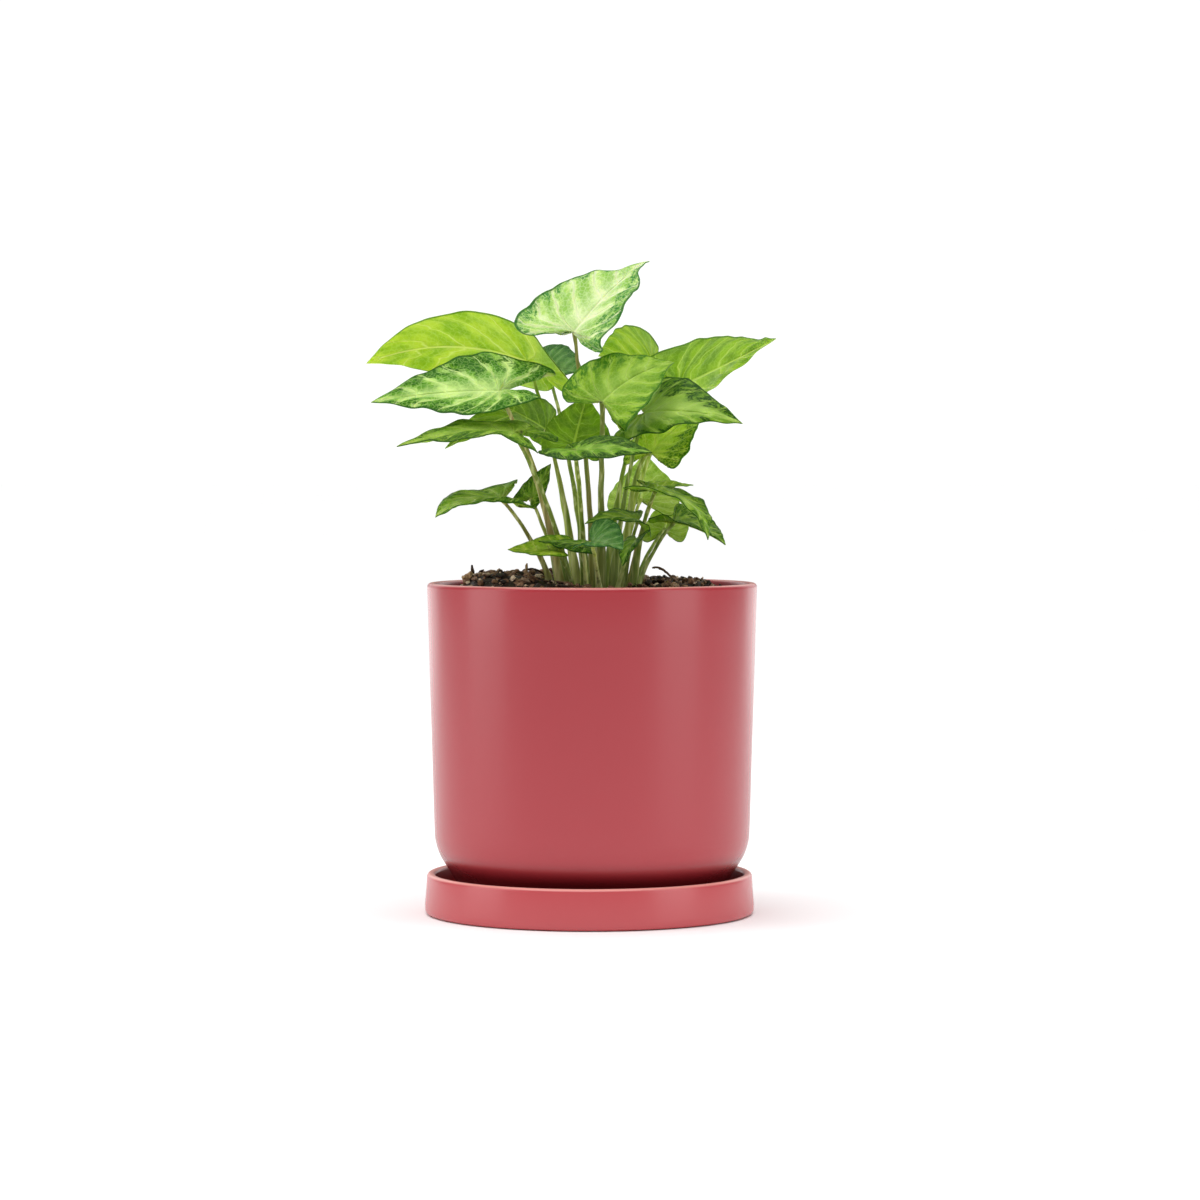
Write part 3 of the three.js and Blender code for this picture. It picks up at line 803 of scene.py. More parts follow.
@dataclass
class Ceramics:
    """The glazed pot and the saucer that it stands in.

    Attributes:
        glaze: the pot's finish.
        saucer_glaze: the saucer's finish, lighter than the pot's as painted light for the floor's bounce.
    """

    glaze: GlazeFinish = field(default_factory=GlazeFinish)
    # The saucer's glaze is painted lighter than the pot's, standing in for light thrown up from the floor.
    saucer_glaze: GlazeFinish = field(default_factory=lambda: GlazeFinish(
        (183, 66, 72), (190, 74, 80), painted_bounce=(192, 76, 80), recess_shade=0.0))

    def saucer(self) -> None:
        """Build the saucer: a flat base, a low upright wall and a rounded lip."""
        corners = [(0.4, 0, 0), (40, 0, 0), (75.8, 0, 1.6), (75.95, 4, 0), (75.3, 12, 0), (75.0, 18.5, 1.7),
                   (71.2, 18.5, 1.6), (70.5, 11, 0), (69.8, 5, 3), (40, 5, 0), (0.4, 5, 0)]
        piece = TurnedForm("saucer_glazed", 0.0, corners).build()
        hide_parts("saucer")
        dress(piece, "glaze", self.saucer_glaze.make("Glaze of the saucer", 0.0172))

    def pot(self) -> None:
        """Build the pot: a rounded base on a narrower foot, a nearly upright wall and a soft rim."""
        corners = [(6, 5.3, 0.5), (57, 5.3, 1.2), (63.2, 15.3, 0), (72.4, 30.3, 6), (72.9, 45, 0),
                   (73.6, 70, 0), (74.5, 100, 0), (75.3, 130, 0), (76, 152.2, 1.9), (71.9, 152.2, 1.7),
                   (71.2, 130, 0), (69.6, 70, 0), (68.4, 30.5, 5), (56, 11.3, 2), (6, 11.3, 0.5)]
        piece = TurnedForm("pot_glazed", POT_AXIS, corners, open_middle=True).build()
        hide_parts("pot")
        dress(piece, "glaze", self.glaze.make("Glaze of the pot", 0.1512))

    def build(self) -> None:
        """Build both pieces."""
        self.saucer()
        self.pot()


# ---- soil ----

def lump(x: float, y: float) -> float:
    """A repeatable small lump for a place on the soil, between -1 and 1."""
    return math.sin(x * 0.61 + 1.3 * math.sin(y * 0.47)) * math.cos(y * 0.53 + 1.7 * math.sin(x * 0.39))


def clamp(value: float, low: float = 0.0, high: float = 1.0) -> float:
    """Keep a number between two others."""
    return max(low, min(high, value))


def soil_height(x: float, y: float) -> float:
    """Height of the soil in millimetres: flat where the stalks come out, heaped beside them.

    Args:
        x: place to the right.
        y: place towards the back.

    Returns:
        The height above the table.
    """
    from_axis = math.hypot(x - POT_AXIS, y)
    from_stalks = math.hypot(x - 3, y + 2)
    rise = clamp((from_stalks - 22.6) / 9)
    fall = clamp((70 - from_axis) / 18)
    front = clamp((y + 55) / 35, 0.15) if y < -20 else 1.0
    heap = 9 if x < 0 else 6
    return SOIL_LEVEL - 3 * (1 - fall) + rise * fall * front * heap + rise * 1.1 * lump(x, y)


def store(piece: Piece, name: str, value: float) -> None:
    """Store one number on all points of a piece.

    Args:
        piece: a mesh object.
        name: the attribute's name.
        value: the number.
    """
    attribute = piece.data.attributes.new(name, "FLOAT", "POINT")
    attribute.data.foreach_set("value", np.full(len(piece.data.vertices), value, np.float32))


def roughen(piece: Piece, size: float, depth: float, seed: float = 0.0) -> None:
    """Move each point of a piece a little, by a cloud of a given size.

    Args:
        piece: a mesh object.
        size: size of the clouds in millimetres.
        depth: the largest move in millimetres.
        seed: shifts the clouds.
    """
    points = points_of(piece)
    shift = Vector((seed, seed * 0.7, -seed))
    moves = [noise.noise_vector(Vector(point) / (size * MM) + shift) for point in points]
    put_points(piece, points + np.array(moves) * depth * MM)


def bezier(points: Sequence[Vector], share: float) -> Vector:
    """Point of a cubic curve at a share of its length.

    Args:
        points: its four corner points.
        share: 0 at the start, 1 at the end.

    Returns:
        The place.
    """
    one, two, three, four = points
    rest = 1 - share
    return (one * rest ** 3 + two * (3 * rest * rest * share) + three * (3 * rest * share * share)
            + four * share ** 3)


def rod(name: str, corners: Sequence[Point], width: Callable[[float], float], cuts: int = 9,
        sides: int = 12) -> Piece:
    """A round rod along a cubic curve, capped at both ends.

    Args:
        name: what the piece is called.
        corners: the curve's four corner points in millimetres.
        width: radius in millimetres for a share of the length.
        cuts: how often the curve is divided.
        sides: corners round the rod, an even number.

    Returns:
        The mesh piece at the origin, ring after ring from the foot.
    """
    clear_selection()
    bpy.ops.curve.primitive_bezier_curve_add(location=(0, 0, 0))
    piece = bpy.context.object
    curve = piece.data
    curve.dimensions = "3D"
    one, two, three, four = (Vector(corner) * MM for corner in corners)
    first, last = curve.splines[0].bezier_points
    for point in (first, last):
        point.handle_left_type = point.handle_right_type = "FREE"
    first.co, first.handle_left, first.handle_right = one, one * 2 - two, two
    last.co, last.handle_left, last.handle_right = four, three, four * 2 - three
    bpy.ops.object.mode_set(mode="EDIT")
    bpy.ops.curve.select_all(action="SELECT")
    bpy.ops.curve.subdivide(number_cuts=cuts)
    bpy.ops.object.mode_set(mode="OBJECT")
    points = piece.data.splines[0].bezier_points
    for index, point in enumerate(points):
        point.radius = width(index / (len(points) - 1))
    curve.resolution_u = 4
    curve.bevel_depth = MM
    curve.bevel_resolution = (sides - 4) // 2
    curve.use_fill_caps = True
    bpy.ops.object.convert(target="MESH")
    piece = bpy.context.object
    piece.name = piece.data.name = name
    close_seams(piece, 1e-6)
    return piece


class Crumb(Enum):
    """Shapes of the crumbs in the soil."""

    NUGGET = 0
    FLAKE = 1
    SPLINTER = 2


@dataclass
class Soil:
    """The soil in the pot: a mound, crumbs of bark all over it and a few loose bits.

    Attributes:
        crumbs: how many crumbs each of the pieces has.
        batches: how many pieces the crumbs are joined into.
        seed: start of the chances.
        finish: the crumbs' finish.
    """

    crumbs: int = 560
    batches: int = 3
    seed: int = 5
    finish: GroundFinish = field(default_factory=lambda: GroundFinish("Bark and peat"))

    def mound(self) -> None:
        """Build the soil's body, turned like the pot's inside, with its top heaved up in lumps."""
        corners = [(0.4, 11.6, 0), (53.5, 11.6, 0), (60, 20.3, 0), (65.5, 29, 0), (67.6, 37, 0),
                   (70.3, 140, 0)] + [(radius, 144, 0) for radius in range(70, 3, -3)]
        piece = TurnedForm("soil_mound", POT_AXIS, corners, sides=96).build()
        points = points_of(piece) / MM
        for point in points:
            if point[2] > 143:
                rough = noise.noise(Vector(point) * 0.35) * 0.9 + noise.noise(Vector(point) * 1.1) * 0.5
                point[2] = soil_height(point[0], point[1]) - 0.9 + rough
        put_points(piece, points * MM)
        store(piece, "tone", 0.3)
        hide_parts("soil")
        finish = GroundFinish("Soil body", (34, 24, 18), (62, 43, 31), (98, 72, 52))
        dress(piece, "soil", finish.make())

    def prototypes(self) -> dict[Crumb, Piece]:
        """Model each shape of crumb once, about two units across.

        Returns:
            A piece for each shape.
        """
        made = {}
        for shape in Crumb:
            clear_selection()
            if shape is Crumb.NUGGET:
                bpy.ops.mesh.primitive_ico_sphere_add(subdivisions=1, radius=1)
                pick_all(bpy.context.object)
                bpy.ops.mesh.bevel(offset=0.16, segments=1, affect="VERTICES")
            elif shape is Crumb.FLAKE:
                bpy.ops.mesh.primitive_cube_add(size=2)
                pick_all(bpy.context.object)
                bpy.ops.mesh.subdivide(number_cuts=1, smoothness=0.6)
                bpy.ops.transform.resize(value=(1, 0.72, 0.3))
            else:
                bpy.ops.mesh.primitive_cylinder_add(vertices=6, radius=0.26, depth=2)
                pick_all(bpy.context.object)
                bpy.ops.mesh.subdivide(number_cuts=1)
            bpy.ops.object.mode_set(mode="OBJECT")
            made[shape] = bpy.context.object
        return made

    def crumb(self, source: Piece, shape: Crumb, chance: random.Random) -> Piece:
        """Copy one crumb to a place on the soil.

        Args:
            source: the shape's model.
            shape: which shape it is.
            chance: the source of chances.

        Returns:
            The copy, with its place in its mesh.
        """
        long = shape is Crumb.SPLINTER
        reach = 69.3 * math.sqrt(chance.random())
        angle = chance.uniform(0, 2 * math.pi)
        x, y = POT_AXIS + reach * math.cos(angle), reach * math.sin(angle)
        size = chance.uniform(0.7, 1.35) if long else 0.65 + 1.25 * chance.random() ** 1.6
        room = clamp((72 - reach) / 2.2, 0.4, 1)
        size *= room
        stretch = (chance.uniform(0.8, 1.3), chance.uniform(0.7, 1.1), chance.uniform(0.6, 1.0))
        if long:
            stretch = (0.8, 0.8, chance.uniform(1.6, 3.4) * room)
            turn = Euler((math.pi / 2 + chance.uniform(-0.35, 0.35), 0, chance.uniform(0, 6.3)))
        else:
            turn = Euler((chance.uniform(-0.8, 0.8), chance.uniform(-0.8, 0.8), chance.uniform(0, 6.3)))
        if reach > 66:
            turn = Euler((turn.x, 0, angle + math.pi / 2))
        copy = source.copy()
        copy.data = source.data.copy()
        bpy.context.collection.objects.link(copy)
        height = soil_height(x, y) - 0.75 + size * chance.uniform(0.1, 0.75)
        form = Matrix.Diagonal((*(value * size * MM for value in stretch), 1))
        form = turn.to_matrix().to_4x4() @ form
        copy.data.transform(Matrix.Translation(Vector((x, y, height)) * MM) @ form)
        roughen(copy, 1.7, 0.42 * size, chance.uniform(0, 90))
        store(copy, "tone", clamp(chance.gauss(0.45, 0.28)))
        return copy

    def scatter(self) -> None:
        """Strew the crumbs over the soil in a few batches."""
        chance = random.Random(self.seed)
        models = self.prototypes()
        material = self.finish.make()
        for batch in range(self.batches):
            shapes = chance.choices(list(Crumb), (5, 5, 2), k=self.crumbs)
            crumbs = [self.crumb(models[shape], shape, chance) for shape in shapes]
            piece = gather(crumbs, f"soil_crumbs_{batch + 1}")
            smooth(piece, 35)
            dress(piece, "soil", material)
        clear_selection()
        for model in models.values():
            bpy.data.objects.remove(model)

    def bit(self, name: str, path: Sequence[Point], start: float, end: float, flat: float) -> Piece:
        """Build one loose bit through three points that are given above the soil.

        Args:
            name: the CAD node that it stands for.
            path: x, y and height above the soil of its ends and its middle.
            start: radius at its start.
            end: radius at its end.
            flat: how flat it is, 1 for round.

        Returns:
            The piece, not yet dressed.
        """
        one, two, three = (Vector((x, y, soil_height(x, y) + lift)) for x, y, lift in path)
        corners = [one, one + (two - one) * 2 / 3, three + (two - three) * 2 / 3, three]

        def width(share: float) -> float:
            """Radius at a share of the length, a little less at both ends."""
            return (start + (end - start) * share) * min(1.0, 0.55 + 4 * share, 0.86 + 2 - 2 * share)

        piece = rod(name, corners, width, cuts=7, sides=10)
        points = points_of(piece)
        middle = points.mean(axis=0)
        if flat != 1:
            points[:, 1] = middle[1] + (points[:, 1] - middle[1]) * flat
            put_points(piece, points)
        roughen(piece, 1.6, 0.4 * max(start, 0.7), 7.3)
        roughen(piece, 0.5, 0.12, 1.1)
        smooth(piece, 40)
        return piece

    def loose_bits(self) -> None:
        """Build the chip, the sliver, the shard, the arched root and the twig."""
        tan = GroundFinish("Pale bark", (112, 84, 58), (176, 142, 104), (214, 186, 148)).make()
        brown = GroundFinish("Brown bark", (52, 36, 26), (96, 68, 48), (140, 108, 80)).make()
        rows = [
            ("bark_chip", [(-58.5, 1, 2.4), (-56, 0, 2.7), (-54.2, -1, 2.2)], 1.9, 1.6, 0.8, tan, 0.62),
            ("bark_sliver", [(-53.6, 4, 0.7), (-53.9, 4, 4), (-54.6, 4, 7)], 1.1, 0.35, 0.6, brown, 0.3),
            ("bark_shard", [(-29.5, 3, 1), (-29.3, 3, 3), (-28.8, 3, 5.6)], 0.85, 0.5, 0.7, tan, 0.55),
            ("root_arc", [(-30, 12, 1.3), (-24, 12, 6.5), (-15.5, 13, 1.4)], 0.55, 0.4, 1, brown, 0.25),
            ("twig", [(29, 9, 7.5), (33, 9, 7), (38.5, 10, 0.9)], 0.6, 0.5, 1, brown, 0.6),
        ]
        for name, path, start, end, flat, material, tone in rows:
            piece = self.bit(name + "_piece", path, start, end, flat)
            store(piece, "tone", tone)
            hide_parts(name)
            dress(piece, "bark", material)
        self.fibres(brown)

    def fibres(self, material: bpy.types.Material) -> None:
        """Lay thin root fibres over the crumbs.

        Args:
            material: their finish.
        """
        fibres = []
        chance = random.Random(self.seed + 1)
        for _ in range(26):
            angle, reach = chance.uniform(0, 6.3), chance.uniform(24, 62)
            heading = chance.uniform(0, 6.3)
            path = []
            for step, lift in enumerate((0.2, 1.3, 1.2, 0.0)):
                x = POT_AXIS + reach * math.cos(angle) + step * 3 * math.cos(heading + 0.25 * step)
                y = reach * math.sin(angle) + step * 3 * math.sin(heading + 0.25 * step)
                if math.hypot(x - POT_AXIS, y) > 67:
                    break
                path.append((x, y, soil_height(x, y) + lift))
            if len(path) == 4:
                fibre = rod("fibre", path, lambda t: 0.22 - 0.08 * t, cuts=2, sides=6)
                roughen(fibre, 3, 0.5, reach)
                store(fibre, "tone", chance.uniform(0.2, 0.8))
                fibres.append(fibre)
        piece = gather(fibres, "root_fibres")
        smooth(piece)
        dress(piece, "bark", material)

    def build(self) -> None:
        """Build the mound, the crumbs and the bits."""
        self.mound()
        self.scatter()
        self.loose_bits()


# ---- leaves ----

class Kind(Enum):
    """Looks that the leaves come in."""

    LIME = "leaf_lime"
    PALE = "leaf_variegated"
    TOP = "leaf_variegated_top"
    FRONT = "leaf_variegated_front"
    MOTTLED = "leaf_variegated_mottled"
    NETTED = "leaf_lime_netted"
    GRASS = "leaf_lime_grass"
    # Painted shade: the lime look darkened for the leaves that lie in the clump's shade.
    SHADED = "leaf_lime_shaded"
    # Painted light: the lime look toned for the leaves that the light comes through from behind.
    DUSTY = "leaf_lime_dusty"
    DEEP = "leaf_deep"
    DARK = "leaf_deep_dark"
    MILD = "leaf_deep_mild"
    BLUE = "leaf_deep_blue"

    @property
    def slot(self) -> str:
        """The record's slot that the look belongs to."""
        return "_".join(self.value.split("_")[:2])


@dataclass(frozen=True)
class Leaf:
    """One leaf: where its stalk meets the blade, its tip, and the blade's form.

    Attributes:
        name: the leaf's name, as in the CAD nodes.
        kind: its look.
        at: where the stalk meets the blade.
        tip: the blade's tip.
        foot: where the stalk leaves the soil.
        width: half widths left and right of the midrib.
        roll: turn of the blade about its length in degrees, positive towards its own left.
        arch: bow of the midrib out of the blade, as a share of the length.
        bend: how late the stalk leans over.
        twist: further turn from the stalk to the tip.
        sweep: bow of the midrib sideways.
        cup: how far the halves curl up.
        taper: how blunt the tip is.
        fold: lift of each half from the midrib in degrees.
        ear: length of each ear behind the stalk, as a share of the length.
        spread: how far apart the ears stand.
        droop: how far each ear hangs, in degrees.
        notch: how wide the notch between the ears opens on either side.
        drip: how far the tip is drawn out, as a share of the length.
        hook: how strongly the drawn-out tip turns to the right.
        stout: how thick the stalk is against the others.
    """

    name: str
    kind: Kind
    at: Point
    tip: Point
    foot: Pair
    width: Pair
    roll: float
    arch: float
    bend: float = 0
    twist: float = 0
    sweep: float = 0
    cup: float = 0
    taper: float = 0.2
    fold: Pair = (8, 8)
    ear: Pair = (0.3, 0.3)
    spread: Pair = (0.65, 0.65)
    droop: Pair = (10, 10)
    notch: Pair = (0.35, 0.35)
    drip: float = 0
    hook: float = 0
    stout: float = 1


LEAVES = (
    Leaf("high_left", Kind.LIME, (-29, 27, 255), (-105, 40, 254), (-6, 8), (27, 27), roll=-28, arch=0.13,
         twist=29, sweep=0.16, cup=-0.06, taper=0.26, fold=(7, 1), ear=(0.37, 0.2), spread=(0.57, 0.64),
         droop=(34, -6), notch=(0.0, 0.0)),
    Leaf("pale_left", Kind.PALE, (-41, -16, 240), (-100, -8, 235), (-12, -7.5), (22, 25), roll=32,
         arch=0.03, twist=-13, sweep=-0.05, cup=-0.03, taper=0.15, fold=(6, 13), ear=(0.4, 0.39),
         spread=(0.86, 0.74), droop=(-16, 13), notch=(0.1, 1.7)),
    Leaf("level_left", Kind.DEEP, (-34, -38, 221), (-86, -34, 215), (-8, -11), (20, 19), roll=6, arch=0.09,
         twist=-20, sweep=-0.14, cup=-0.07, taper=0.25, fold=(6, 10), ear=(0.35, 0.33), spread=(0.65, 0.66),
         droop=(24, 17), drip=0.02, hook=-0.1),
    Leaf("crown", Kind.TOP, (-7, -8, 267), (25, 20, 300), (2, 1.5), (27, 23), roll=-10, arch=0.14,
         sweep=-0.08, cup=0.1, taper=0.24, fold=(13, 3), ear=(0.29, 0.12), spread=(0.59, 0.72),
         droop=(-26, 46), drip=0.045, hook=0.32),
    Leaf("front", Kind.FRONT, (6, -30, 235), (38, -16, 253), (5, -11), (23, 22), roll=-29, arch=0.21,
         twist=8, sweep=-0.02, cup=-0.04, taper=0.22, fold=(11, 2), ear=(0.28, 0.12), spread=(0.63, 0.85),
         droop=(1, 34), drip=0.02, hook=0.2, stout=1.35),
    Leaf("high_right", Kind.GRASS, (42, 20, 243), (88, 50, 266), (11, 4), (23, 24), roll=48, arch=0,
         twist=9, sweep=0.01, cup=-0.04, taper=0.21, fold=(6, 9), ear=(0.32, 0.37), spread=(0.66, 0.71),
         droop=(12, -20)),
    Leaf("mottled_right", Kind.MOTTLED, (25, -19, 230), (69, -40, 225), (10, -5.5), (24, 16), roll=-43,
         arch=0.19, twist=-12, sweep=-0.03, cup=-0.08, taper=0.17, fold=(4, 3), ear=(0.32, 0.32),
         spread=(0.66, 0.66), droop=(18, 13)),
    Leaf("broad_right", Kind.NETTED, (28, -11, 212), (53, 3, 231), (14.5, -1), (13, 22), roll=-23,
         arch=0.15, bend=0.8, twist=-8, sweep=-0.01, cup=-0.01, taper=0.21, fold=(9, 9), ear=(0.32, 0.08),
         spread=(0.66, 0.71), droop=(12, 17), stout=1.15),
    Leaf("dark_centre", Kind.DARK, (-6, -46, 213), (28, -66, 212), (-1.5, -9.5), (14, 14), roll=-18,
         arch=0.05, twist=9, sweep=0.02, cup=-0.06, taper=0.22, fold=(9, 6), ear=(0.32, 0.35),
         spread=(0.66, 0.65), droop=(16, -15)),
    Leaf("far_round", Kind.LIME, (29, 40, 255), (4, 61, 258), (7, 10), (21, 16), roll=-40, arch=0.08,
         twist=-3, sweep=0.05, cup=0.02, taper=0.21, fold=(10, 9), ear=(0.33, 0.32), spread=(0.66, 0.66),
         droop=(8, 12)),
    Leaf("small_left", Kind.MILD, (-40, -20, 191), (-69, -48, 183), (-16, -4), (11, 18), roll=10, arch=0.13,
         twist=4, sweep=-0.09, cup=-0.13, taper=0.19, fold=(8, 9), ear=(0.32, 0.42), spread=(0.66, 0.65),
         droop=(12, -23), notch=(0.7, 0.7)),
    Leaf("low_left", Kind.LIME, (-15, -33, 168), (-37, -27, 168), (-6, -16.5), (10, 11), roll=24, arch=0.02,
         twist=-5, sweep=0.02, cup=0.04, taper=0.21, fold=(9, 10), ear=(0.32, 0.32), spread=(0.66, 0.66),
         droop=(6, 12)),
    Leaf("low_front", Kind.DARK, (-3, -34, 171), (-23, -34, 172), (-1, -15.5), (10, 7), roll=17, arch=-0.01,
         twist=7, sweep=0.02, cup=-0.11, fold=(1, 1), ear=(0.31, 0.32), spread=(0.66, 0.66),
         droop=(16, 12)),
    Leaf("blue_front", Kind.BLUE, (1, -59, 172), (15, -72, 169), (5, -17), (14, 9), roll=-28, arch=0.06,
         twist=-9, sweep=0.06, cup=0.09, taper=0.22, fold=(13, 13), ear=(0.32, 0.32), spread=(0.69, 0.66),
         droop=(-2, 12)),
    Leaf("low_centre", Kind.DEEP, (22, -23, 181), (-2, -43, 180), (15.5, -9), (8, 11), roll=19, arch=0.12,
         twist=8, sweep=-0.01, cup=-0.04, ear=(0.25, 0.25), spread=(0.65, 0.66), droop=(41, -18)),
    Leaf("hook_right", Kind.DEEP, (30, -31, 195), (53, -57, 173), (19.5, -10.5), (15, 10), roll=7,
         arch=0.21, bend=0.2, twist=-18, sweep=0.18, cup=-0.07, taper=0.21, fold=(14, 8), ear=(0.36, 0.32),
         spread=(0.65, 0.66), droop=(0, 12), notch=(0.7, 0.7)),
    Leaf("low_right", Kind.DEEP, (39, 0, 180), (62, -22, 170), (21, -4), (16, 9), roll=4, arch=0.11,
         twist=1, sweep=-0.01, cup=0.01, fold=(12, 13), ear=(0.35, 0.32), spread=(0.72, 0.66),
         droop=(-28, 12)),
    Leaf("back_dark", Kind.BLUE, (-20, 60, 252), (-3, 52, 250), (-1, 11), (15, 10), roll=-43, arch=0.06,
         sweep=0.06, cup=-0.01, taper=0.21, fold=(10, 9), ear=(0.36, 0.32), spread=(0.7, 0.66),
         droop=(-3, 12)),
    Leaf("under_left", Kind.SHADED, (-20, 7, 223), (-45, 14, 236), (-5, 2), (15, 13), roll=-50, arch=0.08,
         fold=(5, 5), ear=(0.12, 0.3)),
    Leaf("under_centre", Kind.SHADED, (-7, -11, 216), (-1, -6, 238), (-2, -4.5), (17.6, 17), roll=158,
         arch=0.03, twist=21, sweep=-0.03, cup=-0.04, taper=0.25, fold=(6, 4), ear=(0.32, 0.32),
         spread=(0.66, 0.66), droop=(6, 6)),
    Leaf("lime_left", Kind.SHADED, (-36, 24, 230), (-68, 38, 214), (-10.5, 6.5), (10, 9), roll=-30,
         arch=0.1, stout=0.75),
    Leaf("back_lime", Kind.DUSTY, (24, 26, 190), (26, 46, 212), (13, 9.5), (18, 16), roll=180, arch=0.06,
         droop=(0, 0)),
    Leaf("back_low", Kind.DUSTY, (35, 28, 176), (39, 44, 194), (19.5, 8), (11, 11), roll=180, arch=0.06,
         droop=(0, 0)),
    Leaf("rolled", Kind.LIME, (31, 2, 196), (48, 6, 197), (18, 2.5), (9, 10), roll=-10, arch=0.05),
    Leaf("dark_low", Kind.DARK, (21, -33, 173), (15, -46, 161), (12, -18), (7, 7), roll=-20, arch=0.1),
    Leaf("folded_left", Kind.DEEP, (-27, 3, 191), (-18, 18, 207), (-13, 2.5), (7, 4.5), roll=-60, arch=0.13,
         cup=-0.01, fold=(7, 9), ear=(0.3, 0.15), spread=(0.72, 0.66), droop=(26, 0)),
)


def along_margin(share: float, ear: float, spread: float, taper: float, notch: float = 0.0) -> Pair:
    """Place on the margin, as shares of length and half width.

    Args:
        share: 0 at the notch by the stalk, 1 at the tip.
        ear: length of the ear.
        spread: how far apart the ears stand.
        taper: how blunt the tip is.
        notch: how wide the notch between the ears opens.

    Returns:
        Along the blade and across it.
    """
    shoulder = min(EAR, ear + 0.02)
    inner = ((0, 0), (-0.3 * ear * (1 - 0.5 * notch), 0.06 + 0.24 * notch),
             (-(0.95 - 0.35 * notch) * ear, (0.5 + 0.3 * notch) * spread), (-ear, spread))
    outer = ((-ear, spread), (-ear, 0.6 + 0.4 * spread), (-shoulder, 1), (0.06, 1))
    flank = ((0.06, 1), (0.4, 1), (0.72, taper + 0.16), (1, 0))
    if share <= EAR:
        run, part = inner, share / EAR
    elif share <= 2 * EAR:
        run, part = outer, (share - EAR) / EAR
    else:
        run, part = flank, (share - 2 * EAR) / (1 - 2 * EAR)
    spot = bezier([Vector((*pair, 0)) for pair in run], part)
    return spot.x, spot.y


def vein_root(share: float) -> float:
    """Where on the midrib the side vein that ends at a place on the margin starts.

    Args:
        share: the place, 0 at the notch and 1 at the tip.

    Returns:
        A share of the blade's length.
    """
    if share <= EAR or share >= 1:
        return 1.0 if share >= 1 else 0.0
    along, across = along_margin(share, 0.3, 0.65, 0.2)
    lead = along - 0.3 * across
    return 0.5 * (lead + math.hypot(lead, 0.06)) * clamp((share - EAR) / 0.1)


def soft(values: np.ndarray, low: float, high: float) -> np.ndarray:
    """A smooth step from 0 at low to 1 at high."""
    share = np.clip((values - low) / (high - low), 0, 1)
    return share * share * (3 - 2 * share)


def unit(rows: np.ndarray) -> np.ndarray:
    """Rows scaled to length one."""
    return rows / np.maximum(np.linalg.norm(rows, axis=-1, keepdims=True), 1e-9)


